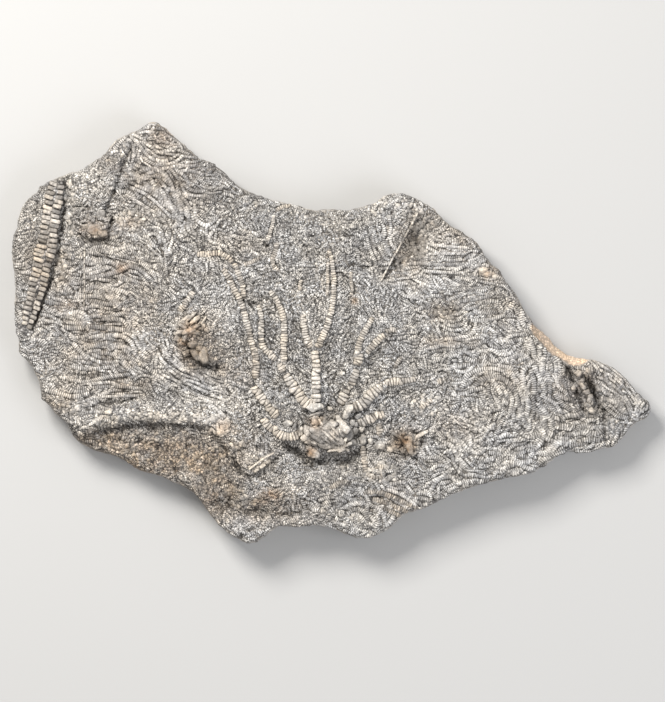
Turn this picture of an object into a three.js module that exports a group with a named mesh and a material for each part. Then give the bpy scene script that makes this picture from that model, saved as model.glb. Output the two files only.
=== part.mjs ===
// A crinoid fossil slab: one broken plate of limestone, lying on its flat back, with a crinoid crown and
// its arms standing up from the bedding plane. Stone and fossils are one piece, so the model is one solid.
// Millimetres. +X along the plate's length, +Y across it, +Z out of the fossil face.
// The origin is the middle of the plate's box, on the surface it lies on.
import * as THREE from "three";

// Driving dimensions.
const PLATE_THICKNESS = 12; // from the back to the bedding plane, near the middle
const EDGE_HEIGHT = 0.5; // the widest part of the broken edge, as a share of the height there
const RIM_SPACING = 2.1; // distance between the points round the edge
const FACE_SPACING = 2.0; // distance between the points on the fossil face
const FACE_MARGIN = 0.62; // gap between face points and rim, as a share of FACE_SPACING
const RIM_INSET = 0.5; // how far the upper rim stands back from the widest part
const RIM_DROP = 0.7; // how far the upper rim lies below the face beside it
const BACK_INSET = 1.6; // how far the flat back stands back from the widest part
const CLEAN_BREAK = { x: 66, y: -4, radius: 8, inset: 2.2 }; // the fresh, sloping break on the right shoulder

// The broken outline, anticlockwise from the right tip.
const OUTLINE = [
  // right tip and the shoulder behind it
  [92.5, -22], [91.6, -19.7], [89.6, -18.7], [87, -15.8], [83, -12.3], [79.5, -9.7], [75, -8.1],
  // the fresh, hollow break
  [70, -7], [65, -4.3], [62.5, -1], [59.4, 1],
  // the long right edge, up to the right hump
  [56.3, 5.2], [54, 9.5], [50.3, 14.8], [48.3, 18], [45.5, 20.3], [43.6, 23.4], [39.5, 28], [34.2, 30.8],
  [30, 35.2], [26, 38], [20, 40.3], [15.5, 39.7], [12.5, 37.6],
  // the hollow upper edge
  [7, 36.3], [5, 35.4], [-3, 35.6], [-8, 35.6], [-11, 37], [-14.5, 37.5], [-19.5, 39], [-25, 41],
  [-30, 45], [-33, 48], [-38.5, 50.5], [-44, 55], [-49.6, 60],
  // the upper left peak and shoulder
  [-52.3, 60.9], [-56, 58.6], [-60, 57], [-63.2, 55.2], [-65.2, 52.3], [-70, 49], [-73, 46.8],
  [-77, 45.8], [-83, 43.1], [-87, 39.6], [-89.5, 37.2], [-90.6, 35.2],
  // the left edge
  [-91.8, 30], [-92.9, 25], [-92.4, 18], [-92, 12], [-92.3, 7.5], [-91.5, 0], [-90.9, -3],
  [-91.3, -5.4], [-87.6, -9.4], [-86, -12.5], [-84.7, -16], [-84.4, -18.9], [-81, -22.8],
  [-78.3, -25.4], [-75.3, -30], [-72.8, -32.6], [-68, -34.7], [-62, -36.3],
  // the lower left edge, down to the lowest lobe
  [-58, -38.8], [-54, -40.7], [-49, -42.1], [-43, -45], [-39.5, -47.5], [-36.8, -51], [-34.5, -54.2],
  [-29.5, -58.7], [-23.5, -61.1], [-20, -59.5], [-16, -56.6],
  // the lower edge and its second lobe
  [-9, -56.6], [-4, -56.1], [0.5, -57.1], [4.5, -58.7], [8, -60], [13, -58.6], [17.5, -56], [20, -53.5],
  // the long lower right edge, back to the tip
  [28.5, -50], [34, -47.5], [38.5, -45.6], [42, -44.6], [51, -42], [56, -41.5], [61, -39.2], [67.5, -35],
  [73, -34.8], [78, -34], [82, -33], [84.3, -30.3], [87, -27], [91.6, -24.6],
];

// Raised or sunken parts of the bedding plane: a centre line, the reach each side of it, and the height.
const RIDGES = [
  // thick left arm, and the groove beside it
  { path: [[-79.5, 46], [-81.5, 30], [-85, 15], [-89, 0]], reach: 5, height: 2.2 },
  { path: [[-76.5, 46], [-77.8, 33], [-79.4, 22], [-84.5, 9], [-87, 2]], reach: 2.6, height: -1.8 },
  { path: [[-69, 33], [-66.5, 28.5]], reach: 3.6, height: 2 }, // lump below the upper left step
  { path: [[-73, -27], [-60, -23.5], [-45, -23], [-33, -28], [-22, -37.5]], reach: 4.6, height: 1.5 },
  { path: [[-43, 1.5], [-39, -3], [-35, -7]], reach: 3.4, height: 2.4 }, // left nodule
  { path: [[19, -31], [24, -33]], reach: 2.6, height: 1.6 }, // right nodule
  { path: [[29, 33], [23, 25], [16, 17]], reach: 2.8, height: -1.5 }, // hollow on the right hump
  { path: [[69, -11], [74, -17], [78.5, -24]], reach: 2.6, height: -1.9 }, // hollow near the right tip
  { path: [[77, -10], [84, -15], [89, -22]], reach: 3, height: 1 }, // ridge behind the right tip
  { path: [[-33, -50], [-20, -51.5], [-8, -50.5]], reach: 4, height: -1.6 }, // trough above the lower lobe
  { path: [[-8, -38], [8, -38]], reach: 4.5, height: -1.4 }, // hollow under the crown
];

// Plateaus with steep sides: a closed outline, the height and how wide the step is.
const STEPS = [
  {
    // upper left corner, standing above the rest of the face
    outline: [[-57, 60], [-60, 50], [-63, 42], [-65.5, 36], [-76, 36], [-77, 48], [-66, 58]],
    height: 1.6, width: 2.8,
  },
  {
    // lower left shelf, split down to a deeper bed
    outline: [[-77, -31], [-70, -29], [-64, -26.8], [-50, -26], [-36, -27], [-27, -34.5], [-27, -46],
      [-36, -60], [-60, -50]],
    height: -2.3, width: 3,
  },
];

// The crown: the cup and the first stretches of its arms, which taper outwards.
const CUP = { x: -1.5, y: -29.5, reachX: 8, reachY: 6, height: 4.6 };
const ARMS = [
  { path: [[-4, -24], [-4.8, -14], [-5, -5], [-8, 4]], reach: 2.9, height: 2 },
  { path: [[-5, -5], [-1.5, 2], [0.5, 10], [0, 22]], reach: 2.3, height: 1.2 },
  { path: [[-5, -21], [-11, -14], [-15, -9.5], [-20, -5]], reach: 2.8, height: 1.9 },
  { path: [[-14, -10], [-14, 2], [-17, 12]], reach: 2.3, height: 1.2 },
  { path: [[-9, -30], [-16, -29], [-19, -25]], reach: 2.6, height: 1.8 },
  { path: [[-16, -23.5], [-21, -16.5], [-22.5, -8], [-23.5, 2]], reach: 2.3, height: 1.3 },
  { path: [[3, -26], [4.5, -17], [7.5, -8], [9.5, 2]], reach: 2.6, height: 1.7 },
  { path: [[4, -23], [9, -19.5], [14, -15.5], [23, -14]], reach: 2.7, height: 1.9 },
  { path: [[7, -27], [11, -25], [15, -24]], reach: 2.6, height: 1.6 },
  { path: [[9.5, -5], [13.5, -2], [18, -0.5]], reach: 2.3, height: 1.2 },
];

/** 1 at the start, 0 from `reach` on, with a round shoulder between. */
function falloff(distance, reach) {
  const t = Math.min(distance / reach, 1);
  return (1 - t * t) ** 2;
}

/** How far a point is from the nearest stretch of a path, closed or open. */
function distanceToPath(x, y, path, closed = false) {
  let nearest = Infinity;
  const last = closed ? path.length : path.length - 1;
  for (let i = 0; i < last; i++) {
    const [ax, ay] = path[i];
    const [bx, by] = path[(i + 1) % path.length];
    const [dx, dy] = [bx - ax, by - ay];
    const along = THREE.MathUtils.clamp(((x - ax) * dx + (y - ay) * dy) / (dx * dx + dy * dy), 0, 1);
    nearest = Math.min(nearest, Math.hypot(x - ax - along * dx, y - ay - along * dy));
  }
  return nearest;
}

/** Whether a point is inside a closed outline. */
function isInside(x, y, outline) {
  let inside = false;
  for (let i = 0, j = outline.length - 1; i < outline.length; j = i++) {
    const [ax, ay] = outline[i];
    const [bx, by] = outline[j];
    if (ay > y !== by > y && x < ((bx - ax) * (y - ay)) / (by - ay) + ax) inside = !inside;
  }
  return inside;
}

/** Height of the fossil face above the flat back. */
function faceHeight(x, y) {
  let z = PLATE_THICKNESS;
  // The bed swells in the middle and thins towards the right tip and the left edge.
  z += 1.0 * Math.cos(x / 38) * Math.cos((y + 8) / 34);
  z -= 2.6 * THREE.MathUtils.smoothstep(x, 45, 92);
  z -= 1.2 * THREE.MathUtils.smoothstep(-x, 70, 92);
  // Long, low waves of the bedding.
  z += 0.45 * Math.sin(x / 7.5 + 0.8 * Math.sin(y / 9)) * Math.cos(y / 6.2 + x / 31);
  for (const { path, reach, height } of RIDGES) z += height * falloff(distanceToPath(x, y, path), reach);
  for (const { outline, height, width } of STEPS) {
    const depth = distanceToPath(x, y, outline, true) * (isInside(x, y, outline) ? 1 : -1);
    z += height * THREE.MathUtils.smoothstep(depth, -width / 2, width / 2);
  }
  const cup = Math.hypot((x - CUP.x) / CUP.reachX, (y - CUP.y) / CUP.reachY);
  let crown = CUP.height * falloff(cup, 1);
  for (const { path, reach, height } of ARMS) {
    crown = Math.max(crown, height * falloff(distanceToPath(x, y, path), reach));
  }
  return z + crown;
}

/** The outline as a closed ring of evenly spaced points, from a smooth curve through OUTLINE. */
function makeRim() {
  const points = OUTLINE.map(([x, y]) => new THREE.Vector3(x, y, 0));
  const curve = new THREE.CatmullRomCurve3(points, true, "centripetal");
  const count = Math.round(curve.getLength() / RIM_SPACING);
  return curve.getSpacedPoints(count).slice(0, count).map((p) => [p.x, p.y]);
}

/** Each ring point moved inwards, square to the ring beside it. */
function insetRing(ring, insetAt) {
  return ring.map(([x, y], i) => {
    const [ax, ay] = ring[(i + ring.length - 1) % ring.length];
    const [bx, by] = ring[(i + 1) % ring.length];
    const length = Math.hypot(bx - ax, by - ay);
    const inset = insetAt(x, y);
    return [x - ((by - ay) / length) * inset, y + ((bx - ax) / length) * inset];
  });
}

/** The fossil face inside the upper rim: a lattice of triangles, without those that come too near the rim. */
function makeLattice(rim) {
  const rowStep = (FACE_SPACING * Math.sqrt(3)) / 2;
  const box = new THREE.Box2().setFromPoints(rim.map(([x, y]) => new THREE.Vector2(x, y)));
  const columns = Math.ceil((box.max.x - box.min.x) / FACE_SPACING) + 1;
  const rows = Math.ceil((box.max.y - box.min.y) / rowStep) + 1;
  const pointAt = (row, column) => [
    box.min.x + (column + (row % 2) / 2) * FACE_SPACING,
    box.min.y + row * rowStep,
  ];
  const margin = FACE_MARGIN * FACE_SPACING;
  const clear = ([x, y]) => isInside(x, y, rim) && distanceToPath(x, y, rim, true) > margin;
  const key = (row, column) => row * (columns + 1) + column;
  const kept = new Map();
  for (let row = 0; row <= rows; row++) {
    for (let column = 0; column <= columns; column++) {
      const point = pointAt(row, column);
      if (clear(point)) kept.set(key(row, column), point);
    }
  }
  let triangles = [];
  for (let row = 0; row < rows; row++) {
    for (let column = 0; column < columns; column++) {
      const odd = row % 2;
      const [a, b] = [key(row, column), key(row, column + 1)];
      const [c, d] = [key(row + 1, column), key(row + 1, column + 1)];
      triangles.push(...(odd ? [[a, b, d], [a, d, c]] : [[a, b, c], [b, d, c]]));
    }
  }
  triangles = triangles.filter((corners) => corners.every((corner) => kept.has(corner)));
  return { kept, triangles: withoutPinches(triangles) };
}

/** The edges that only one triangle uses, as [from, to] in that triangle's order. */
function openEdges(triangles) {
  const edges = new Map();
  for (const [a, b, c] of triangles) {
    for (const [from, to] of [[a, b], [b, c], [c, a]]) {
      if (!edges.delete(`${to},${from}`)) edges.set(`${from},${to}`, [from, to]);
    }
  }
  return [...edges.values()];
}

/** The triangles less those at points where the lattice's border touches itself. */
function withoutPinches(triangles) {
  for (;;) {
    const leaving = new Map();
    for (const [from] of openEdges(triangles)) leaving.set(from, (leaving.get(from) ?? 0) + 1);
    const kept = triangles.filter((corners) => corners.every((corner) => (leaving.get(corner) ?? 0) < 2));
    if (kept.length === triangles.length) return triangles;
    triangles = kept;
  }
}

/** The lattice's borders, each a closed list of point keys. */
function borderLoops(triangles) {
  const next = new Map(openEdges(triangles));
  const loops = [];
  while (next.size) {
    const loop = [];
    let at = next.keys().next().value;
    while (next.has(at)) {
      loop.push(at);
      const following = next.get(at);
      next.delete(at);
      at = following;
    }
    loops.push(loop);
  }
  return loops;
}

/** The whole plate as one closed geometry: fossil face, broken edge and flat back. */
function makeSlabGeometry() {
  const positions = [];
  const faces = [];
  const addPoint = (x, y, z) => positions.push(x, y, z) / 3 - 1;

  const widest = makeRim();
  const upper = insetRing(widest, (x, y) => {
    const nearBreak = falloff(Math.hypot(x - CLEAN_BREAK.x, y - CLEAN_BREAK.y), CLEAN_BREAK.radius);
    return RIM_INSET + CLEAN_BREAK.inset * nearBreak;
  });
  const lower = insetRing(widest, () => BACK_INSET);
  const upperIds = upper.map(([x, y]) => addPoint(x, y, faceHeight(x, y) - RIM_DROP));
  const widestIds = widest.map(([x, y]) => addPoint(x, y, faceHeight(x, y) * EDGE_HEIGHT));
  const lowerIds = lower.map(([x, y]) => addPoint(x, y, 0));

  // Fossil face: the lattice, and a band that joins its border to the upper rim.
  const { kept, triangles } = makeLattice(upper);
  const latticeIds = new Map();
  for (const corners of triangles) {
    for (const corner of corners) {
      if (latticeIds.has(corner)) continue;
      const [x, y] = kept.get(corner);
      latticeIds.set(corner, addPoint(x, y, faceHeight(x, y)));
    }
    faces.push(corners.map((corner) => latticeIds.get(corner)));
  }
  const loops = borderLoops(triangles).map((loop) => [...loop].reverse());
  const toVectors = (points) => points.map(([x, y]) => new THREE.Vector2(x, y));
  const holes = loops.map((loop) => toVectors(loop.map((corner) => kept.get(corner))));
  const bandIds = [...upperIds, ...loops.flatMap((loop) => loop.map((corner) => latticeIds.get(corner)))];
  for (const corners of THREE.ShapeUtils.triangulateShape(toVectors(upper), holes)) {
    faces.push(corners.map((corner) => bandIds[corner]));
  }

  // Broken edge, in two bands.
  for (const [top, bottom] of [[upperIds, widestIds], [widestIds, lowerIds]]) {
    for (let i = 0; i < top.length; i++) {
      const j = (i + 1) % top.length;
      faces.push([bottom[i], bottom[j], top[j]], [bottom[i], top[j], top[i]]);
    }
  }

  // Flat back, facing down.
  for (const [a, b, c] of THREE.ShapeUtils.triangulateShape(toVectors(lower), [])) {
    faces.push([lowerIds[a], lowerIds[c], lowerIds[b]]);
  }

  const geometry = new THREE.BufferGeometry();
  geometry.setAttribute("position", new THREE.Float32BufferAttribute(positions, 3));
  geometry.setIndex(faces.flat());
  geometry.computeBoundingBox();
  const middle = geometry.boundingBox.getCenter(new THREE.Vector3());
  geometry.translate(-middle.x, -middle.y, 0);
  geometry.computeVertexNormals();
  return geometry;
}

const limestone = new THREE.MeshStandardMaterial({ color: 0xa39f98, roughness: 0.85, metalness: 0 });

const slab = new THREE.Mesh(makeSlabGeometry(), limestone);
slab.name = "fossil_slab";

const fossil = new THREE.Group();
fossil.add(slab);

export default fossil;
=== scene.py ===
"""Looks of a crinoid fossil slab: a limestone plate matted with sea-lily arms around a small crown.

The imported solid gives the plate's outline and its long, low relief. Over it stand a fine stone skin with its
broken edge, and the fossils: thousands of jointed strands, the crown with its forking arms, the thick arm at
the left edge and the nodules. All sizes in this file are millimetres until a mesh is made.
"""

import logging
import math
from dataclasses import dataclass, field, replace
from enum import Enum
from typing import Any

import bpy
import numpy as np
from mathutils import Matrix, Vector
from mathutils.geometry import delaunay_2d_cdt

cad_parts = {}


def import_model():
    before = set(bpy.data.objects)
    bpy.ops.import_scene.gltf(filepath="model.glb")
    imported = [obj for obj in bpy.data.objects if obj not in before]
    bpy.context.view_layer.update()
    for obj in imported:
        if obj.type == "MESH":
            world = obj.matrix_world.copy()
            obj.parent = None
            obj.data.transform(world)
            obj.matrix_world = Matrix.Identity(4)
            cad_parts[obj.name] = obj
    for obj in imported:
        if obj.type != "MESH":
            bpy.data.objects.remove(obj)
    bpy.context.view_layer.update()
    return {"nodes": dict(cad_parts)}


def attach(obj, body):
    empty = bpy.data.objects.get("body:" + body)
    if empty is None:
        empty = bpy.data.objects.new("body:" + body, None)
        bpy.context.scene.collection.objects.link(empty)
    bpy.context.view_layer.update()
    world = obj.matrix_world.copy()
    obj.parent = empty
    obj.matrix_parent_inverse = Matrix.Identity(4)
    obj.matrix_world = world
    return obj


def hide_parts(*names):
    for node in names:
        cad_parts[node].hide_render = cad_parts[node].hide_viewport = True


LOG = logging.getLogger("crinoid_slab")
MM = 0.001
BODY = "root"
CAD_NODE = "fossil_slab"
SEED = 4071
# Random fields repeat after this many cells.
TABLE = 128
# Distance between the outline's points.
OUTLINE_STEP = 0.5
MASK_NAMES = ("recess", "tone", "brown", "iron", "fresh", "grainy")
Array = np.ndarray
Path = list[tuple[float, float]]


# ---------------------------------------------------------------------------------------------------------
# Colour and materials
# ---------------------------------------------------------------------------------------------------------


def linear(hex_colour: str) -> tuple[float, float, float, float]:
    """Turns an sRGB hex colour into linear light.

    Args:
        hex_colour: Six hex digits with a leading hash.

    Returns:
        Linear red, green, blue and an alpha of one.
    """
    channels = [int(hex_colour[i : i + 2], 16) / 255 for i in (1, 3, 5)]
    red, green, blue = [c / 12.92 if c <= 0.04045 else ((c + 0.055) / 1.055) ** 2.4 for c in channels]
    return red, green, blue, 1.0


@dataclass
class Shading:
    """One material's node tree. All methods but add return the new node's result socket."""

    tree: bpy.types.NodeTree

    def add(self, kind: str, links: dict[Any, Any] | None = None, **settings: Any) -> Any:
        """Adds a shader node, sets it up and links its inputs.

        Args:
            kind: The node's type without its ShaderNode prefix.
            links: Input name or index to an output socket to link, or to a value to set.
            **settings: Properties of the node.

        Returns:
            The new node.
        """
        made = self.tree.nodes.new("ShaderNode" + kind)
        for name, value in settings.items():
            setattr(made, name, value)
        for name, source in (links or {}).items():
            if isinstance(source, bpy.types.NodeSocket):
                self.tree.links.new(source, made.inputs[name])
            else:
                made.inputs[name].default_value = source
        return made

    def noise(self, place: Any, size_mm: float, detail: float, roughness: float) -> Any:
        """Adds cloudy noise with bumps of a size."""
        links = {"Vector": place, "Scale": 1 / (size_mm * MM), "Detail": detail, "Roughness": roughness}
        return self.add("TexNoise", links).outputs["Fac"]

    def mix(self, factor: Any, a: Any, b: Any, blend: str = "MIX") -> Any:
        """Blends two colours."""
        return self.add("Mix", {0: factor, 6: a, 7: b}, data_type="RGBA", blend_type=blend).outputs[2]

    def ramp(self, value: Any, low: float, high: float, to_low: float = 0.0, to_high: float = 1.0) -> Any:
        """Stretches a value smoothly between two limits."""
        links = {"Value": value, "From Min": low, "From Max": high, "To Min": to_low, "To Max": to_high}
        return self.add("MapRange", links, interpolation_type="SMOOTHSTEP").outputs["Result"]

    def maths(self, operation: str, a: Any, b: Any) -> Any:
        """Works out a sum, difference or product."""
        return self.add("Math", {0: a, 1: b}, operation=operation).outputs[0]

    def grey(self, value: Any) -> Any:
        """Turns a value into a grey."""
        return self.add("CombineColor", {0: value, 1: value, 2: value}).outputs[0]


@dataclass(frozen=True)
class StoneFinish:
    """A weathered carbonate surface: pale on its tops, darkened in its joints and hollows by dirt and by
    painted shade.

    The mesh brings six masks: recess (dirt in the joints, and painted shade in the hollows, on the flanks and
    under the lumps), tone (how pale a piece is), brown (weathered brown tint), iron (rusty orange stain),
    fresh (newly broken, cream face) and grainy (how clearly crystals show).
    """

    name: str
    mid: str
    pale: str
    dirt_and_shade: str
    brown: str
    iron: str
    roughness: float
    grain_mm: float
    grain_depth_mm: float
    mottle_mm: float
    hue_mm: float
    speck_mm: float
    speck: float
    fresh: str = "#e0c9af"
    cool: str = "#f2f3f6"
    warm: str = "#faf5ee"

    def build(self) -> bpy.types.Material:
        """Makes the material."""
        material = bpy.data.materials.new(self.name)
        material.use_nodes = True
        material.node_tree.nodes.clear()
        kit = Shading(material.node_tree)
        place = kit.add("TexCoord").outputs["Object"]
        masks = {
            name: kit.add("Attribute", attribute_type="GEOMETRY", attribute_name=name).outputs["Fac"]
            for name in MASK_NAMES
        }
        mottle = kit.noise(place, self.mottle_mm, 3.0, 0.6)
        grain = kit.noise(place, self.grain_mm, 2.0, 0.65)
        # A piece is paler or greyer as a whole, with soft mottling a few millimetres across.
        paleness = kit.maths("ADD", masks["tone"], kit.ramp(mottle, 0.3, 0.7, -0.22, 0.22))
        colour = kit.mix(kit.ramp(paleness, 0.0, 1.0), linear(self.mid), linear(self.pale))
        rust = kit.maths("MULTIPLY", masks["iron"], kit.ramp(mottle, 0.35, 0.6, 0.5, 1.0))
        colour = kit.mix(rust, colour, linear(self.iron))
        colour = kit.mix(masks["fresh"], colour, linear(self.fresh))
        # Patches several millimetres wide are a little bluer or warmer.
        hue = kit.ramp(kit.noise(place, self.hue_mm, 2.0, 0.5), 0.36, 0.64)
        colour = kit.mix(0.8, colour, kit.mix(hue, linear(self.cool), linear(self.warm)), "MULTIPLY")
        # Dirt in the joints, and painted shade in the low places, on flanks and under lumps, darken the
        # colour; the border follows the grain.
        hollow = kit.maths("ADD", masks["recess"], kit.ramp(grain, 0.3, 0.7, -0.16, 0.16))
        colour = kit.mix(kit.ramp(hollow, 0.18, 0.95, 0.0, 0.93), colour, linear(self.dirt_and_shade))
        # Old brown weathering tints stone and dirt alike.
        stained = kit.maths("MULTIPLY", masks["brown"], kit.ramp(mottle, 0.25, 0.6, 0.55, 1.0))
        colour = kit.mix(stained, colour, linear(self.brown), "MULTIPLY")
        # Crystals of about half a millimetre, each a little lighter or darker, with painted shade in the gaps
        # between them.
        cells = kit.add("TexVoronoi", {"Vector": place, "Scale": 1 / (self.speck_mm * MM)}).outputs
        gap = kit.ramp(cells["Distance"], 0.22, 0.68, 1 + 0.25 * self.speck, 1 - 0.75 * self.speck)
        crystal = kit.add("SeparateColor", {0: cells["Color"]}).outputs[0]
        crystal = kit.ramp(crystal, 0.0, 1.0, 1 - 0.42 * self.speck, 1 + 0.42 * self.speck)
        colour = kit.mix(masks["grainy"], colour, kit.grey(kit.maths("MULTIPLY", gap, crystal)), "MULTIPLY")
        # Single grains glint or stay dull.
        colour = kit.mix(1.0, colour, kit.grey(kit.ramp(grain, 0.32, 0.68, 0.82, 1.14)), "MULTIPLY")
        relief = {
            "Height": kit.maths("SUBTRACT", grain, cells["Distance"]),
            "Strength": 0.8,
            "Distance": self.grain_depth_mm * MM,
        }
        links = {
            "Base Color": colour,
            "Roughness": kit.ramp(hollow, 0.0, 1.0, self.roughness, min(self.roughness + 0.3, 1.0)),
            "Normal": kit.add("Bump", relief).outputs["Normal"],
            "IOR": 1.5,
            "Specular IOR Level": 0.4,
        }
        kit.add("OutputMaterial", {"Surface": kit.add("BsdfPrincipled", links).outputs[0]})
        return material


# Fine-grained limestone, split along its bedding and weathered: matt and grey-brown, with a sandy grain.
LIMESTONE = StoneFinish(
    name="weathered_limestone",
    mid="#8e8b87",
    pale="#dad5cc",
    dirt_and_shade="#47423b",
    brown="#ecd8c3",
    iron="#a47c50",
    roughness=0.72,
    grain_mm=0.28,
    grain_depth_mm=0.10,
    mottle_mm=3.2,
    hue_mm=9.0,
    speck_mm=0.66,
    speck=1.0,
)

# Crinoid calcite, once living plates: cream-grey, harder and paler than the stone, with a dull waxy sheen.
CALCITE = StoneFinish(
    name="fossil_calcite",
    mid="#86837e",
    pale="#d8d2c7",
    dirt_and_shade="#3d3832",
    brown="#ecd9c2",
    iron="#ab8457",
    roughness=0.52,
    grain_mm=0.22,
    grain_depth_mm=0.05,
    mottle_mm=2.4,
    hue_mm=7.0,
    speck_mm=0.60,
    speck=0.36,
)

# The same calcite in the mat: thin strands, cracked across into bright and dull crystals.
MAT_CALCITE = replace(
    CALCITE,
    name="matted_calcite",
    mid="#979592",
    pale="#ece9e2",
    dirt_and_shade="#45413c",
    roughness=0.62,
    speck_mm=0.46,
)


# ---------------------------------------------------------------------------------------------------------
# Number fields
# ---------------------------------------------------------------------------------------------------------


def between(grid: Array, i: Array, j: Array, fu: Array, fv: Array) -> Array:
    """Reads a grid between four neighbours, bilinearly. It starts again past its far edges."""
    i0, j0 = i % grid.shape[0], j % grid.shape[1]
    i1, j1 = (i + 1) % grid.shape[0], (j + 1) % grid.shape[1]
    low = grid[i0, j0] * (1 - fu) + grid[i1, j0] * fu
    high = grid[i0, j1] * (1 - fu) + grid[i1, j1] * fu
    return low * (1 - fv) + high * fv


@dataclass(frozen=True)
class Noise:
    """A smooth random field over the plane, the same for the same seed."""

    seed: int

    def __call__(self, x: Array, y: Array, cell: float) -> Array:
        """Reads the field: random values on a square lattice, joined by smoothed steps.

        Args:
            x: Places along X.
            y: Places along Y.
            cell: Lattice spacing, so roughly the size of one bump.

        Returns:
            Values between -1 and 1.
        """
        table = np.random.default_rng(self.seed).uniform(-1, 1, (TABLE, TABLE))
        u, v = x / cell + 31.7, y / cell + 57.3
        i, j = np.floor(u).astype(int), np.floor(v).astype(int)
        fu, fv = u - i, v - j
        return between(table, i, j, fu * fu * (3 - 2 * fu), fv * fv * (3 - 2 * fv))


def grains(x: Array, y: Array, cell: float, seed: int) -> tuple[Array, Array]:
    """Packs the plane with round grains.

    Each square cell holds one seed point at a random place. A dome stands round each: 1 minus the squared
    distance to the nearest seed, in cells.

    Args:
        x: Places along X.
        y: Places along Y.
        cell: Side of a cell, so roughly the grains' size.
        seed: Seed of the random places.

    Returns:
        The dome's height from 0 to 1, and a random number from 0 to 1 that each grain has to itself.
    """
    table = np.random.default_rng(seed).random((3, TABLE, TABLE))
    u, v = x / cell, y / cell
    i, j = np.floor(u).astype(int), np.floor(v).astype(int)
    nearest, own = np.full(np.shape(x), 9.0), np.zeros(np.shape(x))
    for di in (-1, 0, 1):
        for dj in (-1, 0, 1):
            a, b = (i + di) % TABLE, (j + dj) % TABLE
            away = (i + di + table[0, a, b] - u) ** 2 + (j + dj + table[1, a, b] - v) ** 2
            own = np.where(away < nearest, table[2, a, b], own)
            nearest = np.minimum(nearest, away)
    return 1 - np.clip(nearest, 0, 1), own


def smooth(value: Array, low: float, high: float) -> Array:
    """Rises from 0 at low to 1 at high along the curve 3t^2 - 2t^3."""
    t = np.clip((value - low) / (high - low), 0, 1)
    return t * t * (3 - 2 * t)


def path_distance(x: Array, y: Array, path: Path) -> tuple[Array, Array]:
    """Measures how far points are from a path.

    Each stretch's nearest point is where the point projects onto it, kept between its ends.

    Args:
        x: Places along X.
        y: Places along Y.
        path: The path's corners.

    Returns:
        The distance, and 1 where the nearest stretch has the point on its left, -1 on its right.
    """
    nearest = np.full(np.shape(x), np.inf)
    side = np.ones(np.shape(x))
    for (ax, ay), (bx, by) in zip(path, path[1:]):
        dx, dy = bx - ax, by - ay
        along = np.clip(((x - ax) * dx + (y - ay) * dy) / (dx * dx + dy * dy), 0, 1)
        distance = np.hypot(x - ax - along * dx, y - ay - along * dy)
        closer = distance < nearest
        side = np.where(closer, np.where(dx * (y - ay) - dy * (x - ax) >= 0, 1.0, -1.0), side)
        nearest = np.where(closer, distance, nearest)
    return nearest, side


def ring_margin(x: Array, y: Array, ring: Array) -> Array:
    """Measures how far points lie inside a closed ring.

    The distance is the least one to the ring's points. A point is inside where a level line from it to
    the right crosses the ring an odd number of times.

    Args:
        x: Places along X.
        y: Places along Y.
        ring: The ring's points, close together.

    Returns:
        The distance, negative outside.
    """
    nearest = np.full(np.shape(x), np.inf)
    inside = np.zeros(np.shape(x), bool)
    for (ax, ay), (bx, by) in zip(ring, np.roll(ring, -1, axis=0)):
        nearest = np.minimum(nearest, (x - ax) ** 2 + (y - ay) ** 2)
        if ay != by:
            inside ^= ((y >= ay) != (y >= by)) & (x < ax + (bx - ax) * (y - ay) / (by - ay))
    return np.sqrt(nearest) * np.where(inside, 1, -1)


def outward_of(ring: Array) -> Array:
    """Gives unit vectors out of an anticlockwise ring, at each point square to the line past it."""
    along = np.roll(ring, -1, axis=0) - np.roll(ring, 1, axis=0)
    return np.stack([along[:, 1], -along[:, 0]], axis=1) / np.linalg.norm(along, axis=1)[:, None]


def smooth_path(corners: Array, step: float, closed: bool = False) -> Array:
    """Draws a smooth curve through corners and marks it off in equal steps.

    Between two corners the curve is the Catmull-Rom cubic through them and their neighbours.

    Args:
        corners: Corner points, one row each.
        step: Distance between the marks.
        closed: Whether the curve comes back to its first corner, which is then marked once.

    Returns:
        The marks, one row each.
    """
    if closed:
        padded = np.vstack([corners[-1:], corners, corners[:2]])
    else:
        padded = np.vstack([2 * corners[0] - corners[1], corners, 2 * corners[-1] - corners[-2]])
    t = np.linspace(0, 1, 24, endpoint=False)[None, :, None]
    p0, p1, p2, p3 = (padded[i : len(padded) - 3 + i, None, :] for i in range(4))
    square, cube = 2 * p0 - 5 * p1 + 4 * p2 - p3, 3 * p1 - p0 - 3 * p2 + p3
    cubic = 0.5 * (2 * p1 + (p2 - p0) * t + square * t**2 + cube * t**3)
    fine = np.vstack([cubic.reshape(-1, corners.shape[1]), padded[-2:-1]])
    travelled = np.concatenate([[0], np.cumsum(np.linalg.norm(np.diff(fine[:, :2], axis=0), axis=1))])
    marks = np.linspace(0, travelled[-1], max(2, int(round(travelled[-1] / step)) + 1))
    marks = marks[:-1] if closed else marks
    return np.stack([np.interp(marks, travelled, fine[:, k]) for k in range(fine.shape[1])], axis=1)


def headings(course: Array) -> tuple[Array, Array]:
    """Gives unit vectors along courses and across them to the left, at each of their points."""
    along = np.gradient(course, axis=-2)
    along /= np.maximum(np.linalg.norm(along, axis=-1, keepdims=True), 1e-9)
    return along, np.stack([-along[..., 1], along[..., 0]], axis=-1)


def band(rings: int, around: int) -> tuple[Array, Array]:
    """Numbers a tube's points, ring after ring but for the last, each with the next one round."""
    ring, step = np.meshgrid(np.arange(rings - 1), np.arange(around), indexing="ij")
    return (ring * around + step).ravel(), (ring * around + (step + 1) % around).ravel()


# ---------------------------------------------------------------------------------------------------------
# Stains, and patches of painted shade
# ---------------------------------------------------------------------------------------------------------


@dataclass(frozen=True)
class Stain:
    """A soft-edged patch of colour on the plate."""

    x: float
    y: float
    reach_x: float
    reach_y: float
    strength: float


def stains(*rows: tuple[float, ...]) -> list[Stain]:
    """Gives stains from rows of their values."""
    return [Stain(*row) for row in rows]


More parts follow.
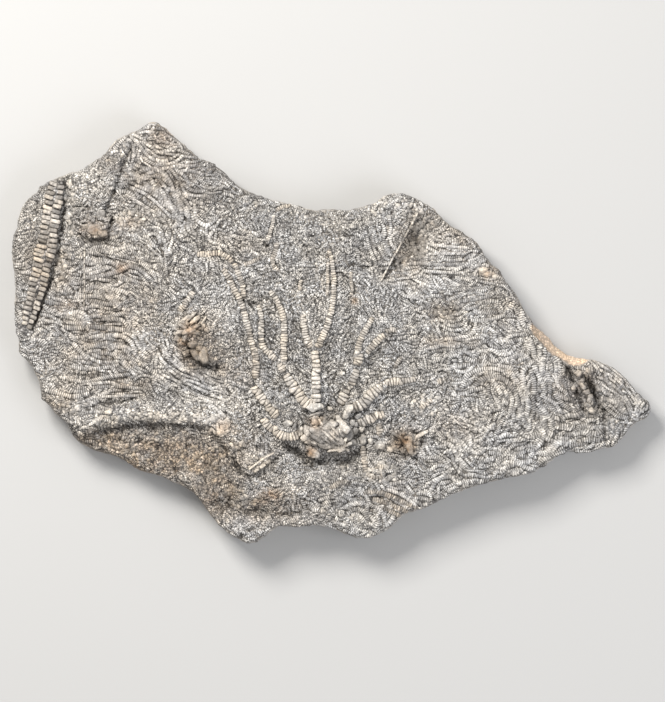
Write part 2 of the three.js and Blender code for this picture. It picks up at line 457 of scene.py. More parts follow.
# Weathered brown.
BROWN_STAINS = stains(
    (-48, -36, 24, 8, 1), (-66, -31, 10, 3.5, 0.8), (-34, -46, 9, 9, 0.75), (-20, -50, 14, 5, 0.55),
    (-79, -20, 6, 5, 0.45), (-60, -15, 9, 4, 0.45), (-84, 20, 6, 16, 0.35), (-78, 14, 4, 14, 0.4),
    (-68, 30, 6, 4, 0.65), (-63, 51, 7, 6, 0.35), (-50, 56, 7, 5, 0.4), (-39, -4, 7, 8, 0.8),
    (-66, 2, 18, 24, 0.4), (-48, 44, 13, 10, 0.5), (-30, -11, 10, 6, 0.35), (22, 24, 5, 8, 0.45),
    (21, -32, 5, 4, 0.9), (72, -16, 8, 8, 0.5), (33, -2.5, 6, 2, 0.5), (50, -12, 9, 6, 0.3),
    (36, -27, 8, 4, 0.3), (84, -14, 5, 5, 0.3), (-2, -31, 9, 7, 0.35), (-4.4, -25.6, 2.6, 2, 0.85),
    (-5.4, -34.6, 2, 2, 0.8), (18, -48, 9, 5, 0.3), (32, 6, 5, 3, 0.4), (47, 17, 5, 3, 0.35),
    (37, 27, 9, 5, 0.35), (28, 33, 6, 5, 0.3), (52, 8, 6, 6, 0.25), (-30, 24, 9, 7, 0.2),
)
# Rusty orange.
IRON_STAINS = stains(
    (-41.4, 0.4, 2.6, 2.2, 0.6), (-43.2, -2.4, 1.8, 1.8, 0.5), (21.6, -31.6, 2.2, 2.2, 0.45),
    (-5.4, -26.4, 1.8, 1.6, 0.45), (-6, -34.2, 1.6, 1.8, 0.55), (6.4, 9.2, 1, 1.2, 0.6),
    (-58.5, 31.6, 3, 2.4, 0.15), (-61, 18.6, 2.4, 1.6, 0.4), (-18, -46.8, 3.4, 2, 0.35),
    (-31.5, -28, 2.8, 2.4, 0.4), (-48, 56.5, 3.2, 2.6, 0.15), (-68.5, 30, 3, 1.6, 0.35),
    (22.4, -34, 1.6, 1.2, 0.4), (45.5, 17.2, 2.4, 1.6, 0.3), (-77, 7.8, 2.6, 1.2, 0.35),
)
# Darker, greyer stone: the stone's own tone, and painted shade on slopes that face the light and in the trough
# behind the right tip.
DULL_STAINS = stains(
    (-36, 43, 11, 9, 0.55), (-56, 40, 4, 8, 0.35), (-49, 42, 14, 11, 0.42), (-88.5, 24, 3, 4, 0.45),
    (32.5, 7, 5, 2.6, 0.5), (-21, -4, 5, 9, 0.35), (-45, -14, 12, 3, 0.45), (2, 24, 16, 5, 0.2),
    (40, -3, 8, 4, 0.25), (58, -20, 7, 4, 0.25), (-68, 14, 5, 6, 0.3), (0, -46, 12, 3, 0.25),
    (-14, -24, 5, 4, 0.4), (-48, 56, 8, 5, 0.5), (-52, -34, 24, 9, 0.3), (-34, -45, 9, 9, 0.5),
    (-22, -49, 12, 5, 0.4), (-39, -4, 6, 8, 0.5), (-68, 30, 6, 5, 0.35), (21, -32, 4, 4, 0.5),
    (24.5, 26, 3.4, 7, 0.6), (-82, 22, 9, 25, 0.15), (-66, 0, 14, 14, 0.25), (-2, -29, 10, 7, 0.42),
    (78, -19, 11, 9, 0.66), (38, 24, 12, 8, 0.14), (-62, 52, 9, 7, 0.35), (-62, -21, 16, 3, 0.3),
    (-28, 20, 12, 12, 0.12),
)
# Paler stone.
PALE_STAINS = stains(
    (-45, -23, 26, 3.4, 0.3), (-31, -29, 4, 5, 0.35), (15, 37, 8, 4, 0.35), (30, 36, 6, 3, 0.35),
    (36, 26, 9, 5, 0.3), (44, -10, 20, 16, 0.28), (-60, 30, 7, 4, 0.2), (-22, -37, 4, 3, 0.4),
    (12, -56, 10, 4, 0.22), (-20, -57, 10, 3, 0.25), (35, -46, 10, 3, 0.25), (60, -38, 10, 3, 0.25),
    (75, -32, 8, 3, 0.25), (73, -10, 6, 3, 0.35), (86, -16, 6, 6, 0.12), (46, 18, 6, 4, 0.25),
    (56, 2, 5, 6, 0.25), (-84, -12, 4, 12, 0.12), (-34.5, 5.5, 4.6, 4.2, 0.6), (-57, 1, 6, 7, 0.42),
    (-2, 9, 5, 8, 0.4), (29, 17, 6, 4, 0.45), (-71, 45, 6, 6, 0.3), (-52, 35, 7, 4.5, 0.25),
    (-74, -8, 6, 7, 0.25), (-21, -52, 6, 2, 0.3), (48, -28, 9, 5, 0.25), (13, -14, 5, 4, 0.3),
    (26, -19, 6, 3.5, 0.35), (-12, 18, 5, 5, 0.2),
)
# Deep places, darkened: painted shade under the crown and the lumps, in the pits and troughs, with the dirt
# that lies there.
SHADE_AND_DIRT_STAINS = stains(
    (-2.5, -32.9, 1.3, 0.6, 0.9), (-6.8, -31.7, 1.5, 0.6, 0.6), (7.4, -30, 1.2, 2, 0.5),
    (6, -27.6, 0.8, 1.6, 0.5), (68.5, -11, 1.8, 2.8, 0.95), (75, -15.6, 2, 3.2, 1),
    (78, -21.8, 1.7, 2.2, 0.85), (71.4, -19, 1.8, 2.8, 0.9), (79, -28, 1.4, 3, 0.5),
    (-5, -37, 4.6, 2, 0.45), (3.4, -36.4, 4, 1.8, 0.4), (-37, -9.6, 4, 1.8, 0.8), (-41, -6, 1.6, 3, 0.6),
    (24, 27, 2.2, 6, 0.75), (19.6, 19.6, 1.6, 3.4, 0.5), (20, -31.4, 3, 2, 0.6),
    (16.8, -0.6, 1.5, 1.2, 0.8), (-9, -28.6, 2.4, 1, 0.6), (-68, 27, 3.4, 1, 0.7),
    (-26, -51.6, 5, 1.4, 0.5), (7, -29, 2, 3, 0.5),
)
# Beds where the stone shows as fine grains, and few strands lie.
GRANULAR_BEDS = stains(
    (-58, -33, 13, 5, 1), (-42, -35, 12, 7, 1), (-34, -42, 8, 9, 0.85), (-62, -23.5, 9, 2.4, 0.9),
    (-46, -22.8, 12, 2.6, 0.9), (-32, -28, 5, 4, 0.85), (-70, 43, 5, 6, 0.8), (-63, 52, 5, 4, 0.75),
    (-88, 34, 3.4, 6, 0.75), (-47, 57, 6, 3, 0.5), (-22, -37, 4, 3, 0.8), (-24, -52, 9, 6, 0.6),
    (-6, -44, 9, 3, 0.45), (-57, 31, 5, 4, 0.6), (18, 36, 8, 4, 0.55), (25, 27, 3.4, 7, 0.9),
    (19.5, 19, 2, 4, 0.9), (-2, -30, 9, 6, 0.9), (-5, 30, 8, 4, 0.35), (10, 2, 5, 7, 0.35),
    (35, 11, 7, 4, 0.55), (33, 0.5, 4, 4, 0.35), (-39, -4, 5, 7, 0.7), (21, -32, 6, 3.4, 0.75),
    (73, -17, 5, 7, 0.85), (-70, 30, 5, 4, 0.4), (-76, 30, 2, 12, 0.6), (-74, -23, 5, 2, 0.5),
    (-26, -14, 6, 4, 0.4), (81, -27, 4, 4, 0.5), (12, -57, 5, 3, 0.35), (-2, -37.5, 9, 2.6, 0.35),
    (27, -24, 6, 4, 0.3), (-83, -12, 3, 8, 0.3), (-33, 3, 6, 8, 0.25), (52, 0, 3, 5, 0.3),
    (85, -24, 5, 3, 0.35),
)


def stain_strength(stains: list[Stain], x: Array, y: Array) -> Array:
    """Gives how strong a list of stains is: the strongest bell curve at each place, with ragged borders."""
    ragged = 1 + 0.45 * Noise(31)(x, y, 2.3) + 0.25 * Noise(32)(x, y, 0.8)
    strength = np.zeros(np.shape(x))
    for s in stains:
        bell = s.strength * np.exp(-(((x - s.x) / s.reach_x) ** 2 + ((y - s.y) / s.reach_y) ** 2))
        strength = np.maximum(strength, bell)
    return np.clip(strength * ragged, 0, 1)


def break_width(x: Array, y: Array) -> Array:
    """Gives the width of the clean, slanting break on the right shoulder: 3.1 along its middle, else 0."""
    distance, _ = path_distance(x, y, [(60.5, 0.4), (63, -2.2), (66, -4.8), (70.5, -7.2)])
    return 3.1 * smooth(4.2 - distance, 0.0, 2.6)


def fresh_break(x: Array, y: Array, margin: Array) -> Array:
    """Gives 1 on the clean cream break, 0 elsewhere."""
    width = break_width(x, y)
    return smooth(width - margin, -0.3, 0.3) * smooth(width, 0.2, 0.9)


# ---------------------------------------------------------------------------------------------------------
# The plate's relief
# ---------------------------------------------------------------------------------------------------------


@dataclass(frozen=True)
class Fold:
    """A ridge, or with a negative height a furrow, along a path."""

    path: Path
    reach: float
    height: float

    def lift(self, x: Array, y: Array) -> Array:
        """Gives its height: (1 - (distance / reach)^2)^2 of the crest's."""
        distance, _ = path_distance(x, y, self.path)
        return self.height * (1 - np.minimum(distance / self.reach, 1) ** 2) ** 2


@dataclass(frozen=True)
class Scarp:
    """A sharp step along a path, high on the path's left and dying away on both sides."""

    path: Path
    height: float
    width: float
    reach: float

    def lift(self, x: Array, y: Array) -> Array:
        """Gives its height: half the step, up on the left and down on the right, times a falloff."""
        distance, side = path_distance(x, y, self.path)
        step = np.tanh(distance * side / self.width) * self.height / 2
        return step * (1 - np.minimum(distance / self.reach, 1) ** 2) ** 2


SCARPS = [
    # upper left: the corner bed ends in a long crack
    Scarp([(-65.7, 36.2), (-64, 40), (-62, 44.5), (-60, 50), (-58.5, 53.5), (-57, 57.5)], 0.5, 0.15, 1.4),
    # lower left: the raised bed breaks off above the brown shelf
    Scarp(
        [(-71, -29.5), (-67, -27.8), (-64, -27), (-58, -26.2), (-50, -25.8), (-43, -26.2), (-36, -27)],
        0.8, 0.22, 1.9,
    ),
    # its lower end, and the slab of stone that sticks up there
    Scarp([(-34.6, -27.6), (-32.3, -30.8), (-29.8, -33.8), (-27.7, -36.3), (-26.6, -39)], 1.1, 0.25, 2.4),
    Scarp(
        [(-26.6, -38), (-25.4, -40.6), (-23.2, -41), (-20.6, -39.2), (-18, -37.2), (-16, -35.6)],
        1.35, 0.3, 2.6,
    ),
    # lump below the upper left corner
    Scarp([(-72.5, 28.6), (-70, 27.2), (-67, 26.8), (-65.3, 27.6), (-65, 30), (-64.4, 32.5)], 1.6, 0.2, 2.4),
    # both sides of the hollow on the right hump
    Scarp([(15, 16.5), (19.5, 25), (24.5, 33)], 0.7, 0.25, 1.8),
    Scarp([(30, 33.5), (27, 29.5), (25, 26.5), (23.5, 23), (20.5, 20.5), (18.5, 17)], 0.5, 0.4, 2.0),
    # over the hollow behind the right tip
    Scarp([(67.5, -10), (70, -13.5), (74, -14.5), (77, -19), (80, -22)], -1.0, 0.5, 2.4),
    # under the crown
    Scarp([(-12, -32.5), (-7, -35), (-2, -35), (4, -34.8), (8, -33.5)], 0.5, 0.6, 3.0),
    # trough above the lowest lobe
    Scarp([(-34, -48.6), (-29, -46.9), (-27.3, -46.2)], 0.8, 0.3, 2.0),
    Scarp([(-10, -50), (-17, -51.6), (-27, -53)], 0.6, 0.5, 2.4),
]

# Each row: path, reach and height.
FOLD_ROWS = [
    # the slab of stone below the ledge's lower end
    ([(-24.4, -37.8), (-19.4, -35.4)], 2.8, 0.9), ([(-27.6, -34.4), (-24.6, -33.4), (-20, -32.6)], 1, -0.6),
    # swells on the shelf
    ([(-62, -31), (-54, -32), (-47, -34)], 1.6, -0.4), ([(-50, -36), (-44, -38.5), (-39, -42)], 1.9, 0.45),
    ([(-42, -33), (-37, -36), (-34, -40)], 1.4, -0.45),
    ([(-33.4, -43.4), (-29.6, -41.4), (-27.6, -43)], 1.6, 0.6), ([(-58, -28.6), (-50, -29.4)], 1.5, 0.35),
    # groove beside the thick left arm
    (
        [(-76.2, 45), (-77, 39), (-77.7, 33), (-78.6, 27), (-79.8, 20.5), (-82, 13), (-84.8, 6), (-86.6, 1)],
        0.9, -0.68,
    ),
    # the upper left crack, and the foot of the ledge above the shelf
    ([(-65, 36), (-63.3, 40), (-61.4, 44.5), (-59.4, 50), (-58, 53.5)], 0.7, -0.68),
    ([(-66, -28.4), (-58, -27), (-50, -26.6), (-43, -27), (-36.4, -27.8), (-33.6, -29.4)], 0.8, -0.26),
    ([(-78.5, 26.5), (-76.2, 25)], 0.9, -0.6), ([(-79.2, 20), (-77.5, 22.8), (-75.8, 20.4)], 0.9, -0.6),
    # cracks and pits below the upper left corner
    ([(-74, 36.2), (-72.4, 36.5), (-70.4, 35.8)], 0.8, -0.75),
    ([(-69.5, 34.4), (-67.8, 32.4), (-65.4, 31.6), (-63.4, 32.4)], 0.8, -0.75),
    ([(-56, 38.3), (-52, 35.9), (-49.6, 33.6)], 0.9, -0.75),
    ([(-58.5, 42.2), (-54.5, 43.4), (-51, 45)], 0.8, -0.52),
    ([(-49.8, 42.3), (-46.4, 38.6), (-44, 34.2), (-41, 31.8)], 0.9, -0.52),
    ([(-51, 46.4), (-47.6, 46.2), (-44.5, 42)], 0.8, -0.45),
    ([(-50, 53.2), (-45, 52), (-40, 51.8)], 0.6, -0.38),
    ([(-50, 51), (-44, 50.2), (-39, 49.8)], 0.6, -0.38),
    ([(-59, 46.5), (-55, 45.4), (-51.5, 44.4)], 0.8, -0.45),
    ([(-52.5, 30), (-50.6, 26.6), (-48.6, 22)], 0.7, -0.38),
    ([(-46.4, 19.2), (-43.2, 15.6), (-40.2, 12.4)], 0.8, -0.6),
    # furrows between the strands at the left
    ([(-70, 22.4), (-66, 21.5), (-61, 20.7)], 0.8, -0.6),
    ([(-70.5, 14.6), (-66, 14.3), (-62, 15.4)], 0.9, -0.75),
    ([(-60.5, 17.2), (-57.5, 17), (-54.8, 15)], 0.8, -0.52),
    ([(-68, 6.8), (-64, 6.2), (-61, 6.4)], 0.8, -0.45), ([(-72, 3.4), (-68, 2.8), (-63, 3.4)], 0.7, -0.45),
    ([(-71, -2.9), (-66, -2.5), (-60.2, -2.2), (-58.2, -4.4)], 0.8, -0.68),
    ([(-74, -3.4), (-72.2, -0.6), (-71, 2)], 0.7, -0.6),
    ([(-75, -12), (-70, -12.6), (-65, -11.4)], 0.8, -0.6),
    ([(-69, -8.4), (-66, -7.6), (-62.5, -8.6)], 0.8, -0.45),
    ([(-66, -14.4), (-61, -13.4), (-56, -14.8)], 0.9, -0.68),
    ([(-64, -17.6), (-59, -16.8), (-54, -17.6)], 0.7, -0.52),
    ([(-71, -22), (-66, -20.4), (-60, -19.8), (-56.5, -18.6)], 0.9, -0.75),
    ([(-50.2, -5.2), (-47.2, -9.2), (-42.8, -12.6), (-36, -15.2)], 0.8, -0.6),
    ([(-46.2, -12.2), (-41, -16.2), (-35, -18.9)], 0.7, -0.52),
    # the left nodule's pits
    ([(-39.6, -7.6), (-37.4, -9.6), (-33.2, -10.4)], 1.5, -1.4),
    ([(-41.4, -3.4), (-40.4, -6.6), (-42.6, -7.8)], 1, -1), ([(-45.2, -1.2), (-44, -4.4)], 0.9, -0.75),
    ([(-41.8, 4), (-41.6, 2)], 0.8, -0.75),
    # hollows beneath the crown
    ([(-12, -33.6), (-8.6, -36), (-5, -37.6), (-1, -36.8), (3, -37.6), (6.4, -35.6), (8.6, -34)], 2.6, -1.2),
    ([(-14, -32.2), (-10, -34.6), (-6, -38.6)], 1.4, -0.78),
    # trough above the lowest lobe
    ([(-30, -48.6), (-25, -52), (-17, -52.8), (-9, -51.4)], 1.8, -0.75),
    ([(-30, -49.8), (-28, -53)], 1, -0.45),
    # the right nodule's pits
    ([(16.6, -29.6), (19, -30.6), (20.6, -32.8)], 1.1, -0.98),
    ([(23.4, -28.6), (25.8, -30.4), (25.6, -33.4)], 0.9, -0.72),
    ([(11.6, -34.4), (16, -34.4), (21, -35.4), (24, -36.2)], 0.7, -0.6),
    # hollows near the right tip
    ([(67.6, -9.8), (68.6, -11.6), (70, -14.6)], 1.2, -1.9),
    ([(73.2, -13.4), (75, -16), (76.6, -19.6)], 1.5, -2.3), ([(76.6, -21.2), (79.2, -22.6)], 1.1, -1.3),
    ([(70.2, -16.6), (71.6, -19.4), (73, -22.4)], 1.1, -1.4),
    ([(78.8, -24), (78.6, -27), (79, -31.4)], 0.8, -0.68), ([(75.6, -12), (77.6, -14.2)], 0.9, -0.75),
    ([(80.4, -11.4), (84.4, -15), (87.6, -20)], 0.7, -0.52),
    ([(83.4, -16.6), (86, -19.6), (87.4, -22.4)], 0.7, -0.45),
    # furrows at the right
    ([(26, 16.7), (31, 16.4), (35.4, 16.2)], 0.7, -0.52),
    ([(33, 21.9), (37, 21.7), (40.4, 22.8)], 0.7, -0.45),
    ([(28.6, 24.2), (33, 23.8), (36.6, 24.8)], 0.7, -0.38),
    ([(36.4, 25.2), (38.6, 25.6), (40, 25.2)], 0.7, -0.6),
    ([(20.6, 10.2), (23, 8.6), (24.4, 8.4)], 0.7, -0.6), ([(30, 7), (32.6, 6.8), (34.4, 6.4)], 1.2, -0.75),
    ([(29.6, 4.4), (32.4, 4.6)], 0.8, -0.52), ([(40, -25.4), (44.6, -24.6), (48.6, -22.6)], 0.8, -0.6),
    ([(50, -26), (53, -25.8), (54.6, -25.6)], 0.6, -0.45),
    ([(66.4, -24.6), (69, -24.8), (72.6, -25.8)], 0.7, -0.6),
    ([(64.6, -29.9), (67, -30.1), (69.8, -30.2)], 0.8, -0.75),
    ([(60.4, -33), (62.6, -31.4), (64.6, -29.8)], 0.8, -0.6),
    ([(35, -26.8), (40, -28.4), (43.6, -31)], 0.6, -0.45),
    ([(29, -31), (31.6, -32), (34, -31)], 0.8, -0.45),
    ([(33.6, -36), (37, -38.6), (39.4, -40.6)], 0.7, -0.45),
    # furrows at the top and the bottom
    ([(3.2, 28.6), (4.4, 27.6), (6.4, 27.8)], 0.8, -0.68),
    ([(-9, 26.4), (-6.6, 27.6), (-4.4, 28.2)], 0.6, -0.45),
    ([(5.2, 19.9), (8, 19.3), (10, 18.6)], 0.8, -0.6), ([(2, 17.4), (4.2, 16.2)], 0.7, -0.52),
    ([(-25.6, 9.2), (-24, 8), (-22.4, 8.6)], 0.9, -0.91), ([(-19, 10), (-17.4, 9), (-16.2, 7)], 0.8, -0.68),
    ([(-19.5, 25.2), (-18.4, 25.1)], 0.7, -0.68), ([(-26, -33.6), (-31, -30.4)], 0.6, -0.38),
    ([(11, -48), (14, -47.9), (17, -49.4)], 0.7, -0.52), ([(16, -50.8), (19, -51.8)], 0.7, -0.52),
]


# Grains of the stone: size, seed and height.
GRAIN_SIZES = ((2.1, 14, 0.34), (1.05, 15, 0.42), (0.66, 16, 0.22))


@dataclass
class Relief:
    """Heights of the bedding plane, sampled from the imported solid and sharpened.

    Fields are square grids. Bilinear reading between four neighbours gives any place.
    """

    node: bpy.types.Object
    low: tuple[float, float] = (-98.0, -66.0)
    cells: tuple[int, int] = (392, 264)
    coarse: float = 0.5
    fine: float = 0.25
    blur: float = 1.1
    pit_blur: float = 1.6
    rim_reach: float = 1.6
    rim_drop: float = 1.1
    outline: Array = field(init=False)
    heights: Array = field(init=False)
    hollows: Array = field(init=False)
    margins: Array = field(init=False)

    def __post_init__(self) -> None:
        """Reads the solid and works out the grids."""
        triangles = self._triangles()
        self.outline = self._find_outline(triangles)
        x, y = self.grid(self.coarse)
        self.margins = ring_margin(x, y, self.outline)
        plain = self._rasterise(triangles)
        fine_x, fine_y = self.grid(self.fine)
        sharp = self._read(plain, self.coarse, fine_x, fine_y)
        for feature in [*SCARPS, *(Fold(*row) for row in FOLD_ROWS)]:
            self._press(sharp, fine_x, fine_y, feature)
        sharp += 0.28 * Noise(11)(fine_x, fine_y, 5.2) + 0.28 * Noise(12)(fine_x, fine_y, 2.1)
        sharp += 0.13 * Noise(13)(fine_x, fine_y, 1.1)
        self.hollows = np.clip(self._gaussian(sharp, self.pit_blur / self.fine) - sharp, -1, 1)
        bed = 0.25 + 0.75 * stain_strength(GRANULAR_BEDS, fine_x, fine_y)
        for cell, seed, height in GRAIN_SIZES:
            dome, own = grains(fine_x, fine_y, cell, seed)
            sharp += height * bed * (dome - 0.65) * (0.4 + 1.2 * own)
        self.heights = sharp

    def _triangles(self) -> Array:
        """Gives the solid's triangles in millimetres, one 3 by 3 block each."""
        mesh = self.node.data
        mesh.calc_loop_triangles()
        corners = np.empty(len(mesh.vertices) * 3)
        mesh.vertices.foreach_get("co", corners)
        order = np.empty(len(mesh.loop_triangles) * 3, np.int32)
        mesh.loop_triangles.foreach_get("vertices", order)
        return (corners.reshape(-1, 3) / MM)[order.reshape(-1, 3)]

    def _find_outline(self, triangles: Array) -> Array:
        """Finds the plate's outline: the edges between a face that looks up and one that looks down.

        Args:
            triangles: The solid's triangles.

        Returns:
            Points half a millimetre apart, anticlockwise, with the small raggedness of broken stone.
        """
        up = np.cross(triangles[:, 1] - triangles[:, 0], triangles[:, 2] - triangles[:, 0])[:, 2] > 1e-6
        points, ids = np.unique(np.round(triangles.reshape(-1, 3), 3), axis=0, return_inverse=True)
        ids = ids.reshape(-1, 3)
        edges = np.sort(np.concatenate([ids[:, [0, 1]], ids[:, [1, 2]], ids[:, [2, 0]]]), axis=1)
        _, group = np.unique(edges, axis=0, return_inverse=True)
        ups = np.bincount(group.ravel(), weights=np.tile(up, 3))
        rim = np.unique(edges[ups[group.ravel()] == 1], axis=0)
        ring = smooth_path(self._walk(points[:, :2], rim), OUTLINE_STEP, closed=True)
        out = outward_of(ring)
        ragged = 0.28 * Noise(21)(ring[:, 0], ring[:, 1], 2.6) + 0.16 * Noise(22)(ring[:, 0], ring[:, 1], 1.1)
        return ring + out * (ragged - 0.1)[:, None]

    def _walk(self, points: Array, edges: Array) -> Array:
        """Walks round the outermost of some edges, from the rightmost point anticlockwise.

        At each point it takes the edge that turns furthest to the right.

        Args:
            points: Places of all points.
            edges: Pairs of point numbers.

        Returns:
            The places passed, in order.
        """
        ends: dict[int, list[int]] = {}
        for a, b in edges.tolist():
            ends.setdefault(a, []).append(b)
            ends.setdefault(b, []).append(a)
        start = max(ends, key=lambda i: points[i, 0])
        route, before, heading = [start], -1, math.pi / 2
        while len(route) < len(edges) + 1:
            here = points[route[-1]]

            def turn(i: int) -> float:
                """Gives the turn towards a point: the least is the furthest right."""
                step = points[i] - here
                return (math.atan2(step[1], step[0]) - heading + math.pi) % (2 * math.pi)

            onward = min((i for i in ends[route[-1]] if i != before), key=turn)
            if onward == start:
                break
            before, heading = route[-1], math.atan2(*(points[onward] - here)[::-1])
            route.append(onward)
        return points[route]

    def grid(self, pitch: float) -> tuple[Array, Array]:
        """Gives the places of a grid with this pitch."""
        count = [int(n * self.coarse / pitch) for n in self.cells]
        axes = [self.low[k] + np.arange(count[k]) * pitch for k in (0, 1)]
        return tuple(np.meshgrid(*axes, indexing="ij"))

    def _gaussian(self, grid: Array, sigma: float) -> Array:
        """Blurs a grid with a bell curve, by way of its spectrum.

        Args:
            grid: The values.
            sigma: The bell's width in grid steps.

        Returns:
            The blurred grid.
        """
        fx = np.fft.fftfreq(grid.shape[0])[:, None]
        fy = np.fft.rfftfreq(grid.shape[1])[None, :]
        bell = np.exp(-2 * (math.pi * sigma) ** 2 * (fx**2 + fy**2))
        return np.fft.irfft2(np.fft.rfft2(grid) * bell, grid.shape)

    def _rasterise(self, triangles: Array) -> Array:
        """Lays the solid's upward faces on the coarse grid and blurs away their facets.

        Each face is tried at every grid place of a block over it: where the three barycentric
        weights are all positive, they also give the height. The blur is weighted by what was hit.

        Args:
            triangles: The solid's triangles.

        Returns:
            Heights on the coarse grid, carried a little past the outline.
        """
        normal = np.cross(triangles[:, 1] - triangles[:, 0], triangles[:, 2] - triangles[:, 0])
        top = triangles[normal[:, 2] > 0.25 * np.linalg.norm(normal, axis=1)]
        start = np.floor((top[:, :, :2].min(1) - self.low) / self.coarse).astype(int)
        steps = np.stack(np.meshgrid(np.arange(14), np.arange(14), indexing="ij"), -1).reshape(-1, 2)
        cell = start[:, None, :] + steps[None]
        place = cell * self.coarse + np.array(self.low)
        a, b, c = (top[:, k, None, :2] for k in range(3))

        def cross(p: Array, q: Array) -> Array:
            """Gives the plane cross product."""
            return p[..., 0] * q[..., 1] - p[..., 1] * q[..., 0]

        area = cross(b - a, c - a)
        opposite = [cross(b - place, c - place), cross(c - place, a - place), cross(a - place, b - place)]
        weights = np.stack(opposite) / area
        hit = (weights > -1e-6).all(0)
        height = (weights * top[:, :, 2].T[:, :, None]).sum(0)
        grid = np.zeros(self.cells)
        np.maximum.at(grid, (cell[hit][:, 0], cell[hit][:, 1]), height[hit])
        known = (grid > 0).astype(float)
        sigma = self.blur / self.coarse
        near = self._gaussian(grid, sigma) / np.maximum(self._gaussian(known, sigma), 1e-3)
        wide = self._gaussian(grid, 8) / np.maximum(self._gaussian(known, 8), 1e-3)
        return np.where(self._gaussian(known, sigma) > 0.05, near, np.clip(wide, 0, 20))

    def _press(self, grid: Array, x: Array, y: Array, feature: Fold | Scarp) -> None:
        """Adds one feature's lift to the part of the grid that it reaches."""
        corners = np.array(feature.path)
        first = np.maximum(((corners.min(0) - feature.reach - self.low) / self.fine).astype(int), 0)
        last = ((corners.max(0) + feature.reach - self.low) / self.fine).astype(int) + 2
        window = (slice(first[0], last[0]), slice(first[1], last[1]))
        grid[window] += feature.lift(x[window], y[window])

    def _read(self, grid: Array, pitch: float, x: Array, y: Array) -> Array:
        """Reads a grid at any places, bilinearly."""
        u = np.clip((x - self.low[0]) / pitch, 0, grid.shape[0] - 1.001)
        v = np.clip((y - self.low[1]) / pitch, 0, grid.shape[1] - 1.001)
        i, j = u.astype(int), v.astype(int)
        return between(grid, i, j, u - i, v - j)

    def height(self, x: Array, y: Array) -> Array:
        """Gives the bedding plane's height above the back, rounded off at the broken edge."""
        margin = np.clip(self.margin(x, y), 0, None)
        lost = np.clip(1 - margin / self.rim_reach, 0, 1)
        return self._read(self.heights, self.fine, x, y) - self.rim_drop * lost**2

    def hollow(self, x: Array, y: Array) -> Array:
        """Gives how far a place lies below its surroundings, from -1 on a crest to 1 in a pit."""
        return self._read(self.hollows, self.fine, x, y)

    def margin(self, x: Array, y: Array) -> Array:
        """Gives the distance inwards from the outline, negative outside."""
        return self._read(self.margins, self.coarse, x, y)


# ---------------------------------------------------------------------------------------------------------
# Meshes
# ---------------------------------------------------------------------------------------------------------


@dataclass
class Masks:
    """The six per-vertex masks that a stone finish reads."""

    recess: Array
    tone: Array
    brown: Array
    iron: Array
    fresh: Array
    grainy: Array


def place_masks(relief: Relief, x: Array, y: Array, recess: Array, tone: Array) -> Masks:
    """Completes a piece's masks with the stains, and the painted shade, of the place where it lies.

    Args:
        relief: The plate's relief.
        x: Places along X.
        y: Places along Y.
        recess: How dark the vertex is made, by dirt and by painted shade.
        tone: How pale the vertex is.

    Returns:
        All six masks.
    """
    # Deep places are darkened further: painted shade, with dirt.
    recess = 1 - (1 - recess) * (1 - 0.75 * stain_strength(SHADE_AND_DIRT_STAINS, x, y))
    pale = tone + 0.5 * stain_strength(PALE_STAINS, x, y) - 0.5 * stain_strength(DULL_STAINS, x, y)
    brown, iron = stain_strength(BROWN_STAINS, x, y), stain_strength(IRON_STAINS, x, y)
    fresh = fresh_break(x, y, relief.margin(x, y))
    return Masks(recess, pale, brown, iron, fresh, 1 - 0.65 * fresh)


def make_piece(
    name: str, vertices: Array, triangles: Array, masks: Masks, material: bpy.types.Material,
    uv: Array | None = None,
) -> bpy.types.Object:
    """Makes one finished piece that rides with the plate.

    Args:
        name: The piece's name.
        vertices: Places in millimetres, one row each.
        triangles: Vertex numbers, three a row. They are turned outwards together if their volume is negative.
        masks: Per-vertex masks.
        material: Its finish.
        uv: Texture places for each triangle's corners.

    Returns:
        The new object.
    """
    a, b, c = (vertices[triangles[:, k]] for k in range(3))
    if np.einsum("ij,ij->", a, np.cross(b, c)) < 0:
        triangles = triangles[:, ::-1]
        uv = None if uv is None else uv[:, ::-1]
    mesh = bpy.data.meshes.new(name)
    mesh.vertices.add(len(vertices))
    mesh.vertices.foreach_set("co", (vertices * MM).astype(np.float32).ravel())
    mesh.loops.add(triangles.size)
    mesh.loops.foreach_set("vertex_index", triangles.astype(np.int32).ravel())
    mesh.polygons.add(len(triangles))
    mesh.polygons.foreach_set("loop_start", np.arange(0, triangles.size, 3, dtype=np.int32))
    mesh.polygons.foreach_set("use_smooth", np.ones(len(triangles), bool))
    for mask, values in vars(masks).items():
        mesh.attributes.new(mask, "FLOAT", "POINT").data.foreach_set("value", values.astype(np.float32))
    if uv is not None:
        mesh.uv_layers.new(name="OFBake").data.foreach_set("uv", uv.astype(np.float32).ravel())
    mesh.update()
    mesh.validate()
    mesh.materials.append(material)
    piece = bpy.data.objects.new(name, mesh)
    bpy.context.scene.collection.objects.link(piece)
    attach(piece, BODY)
    LOG.info("%s: %d triangles", name, len(triangles))
    return piece


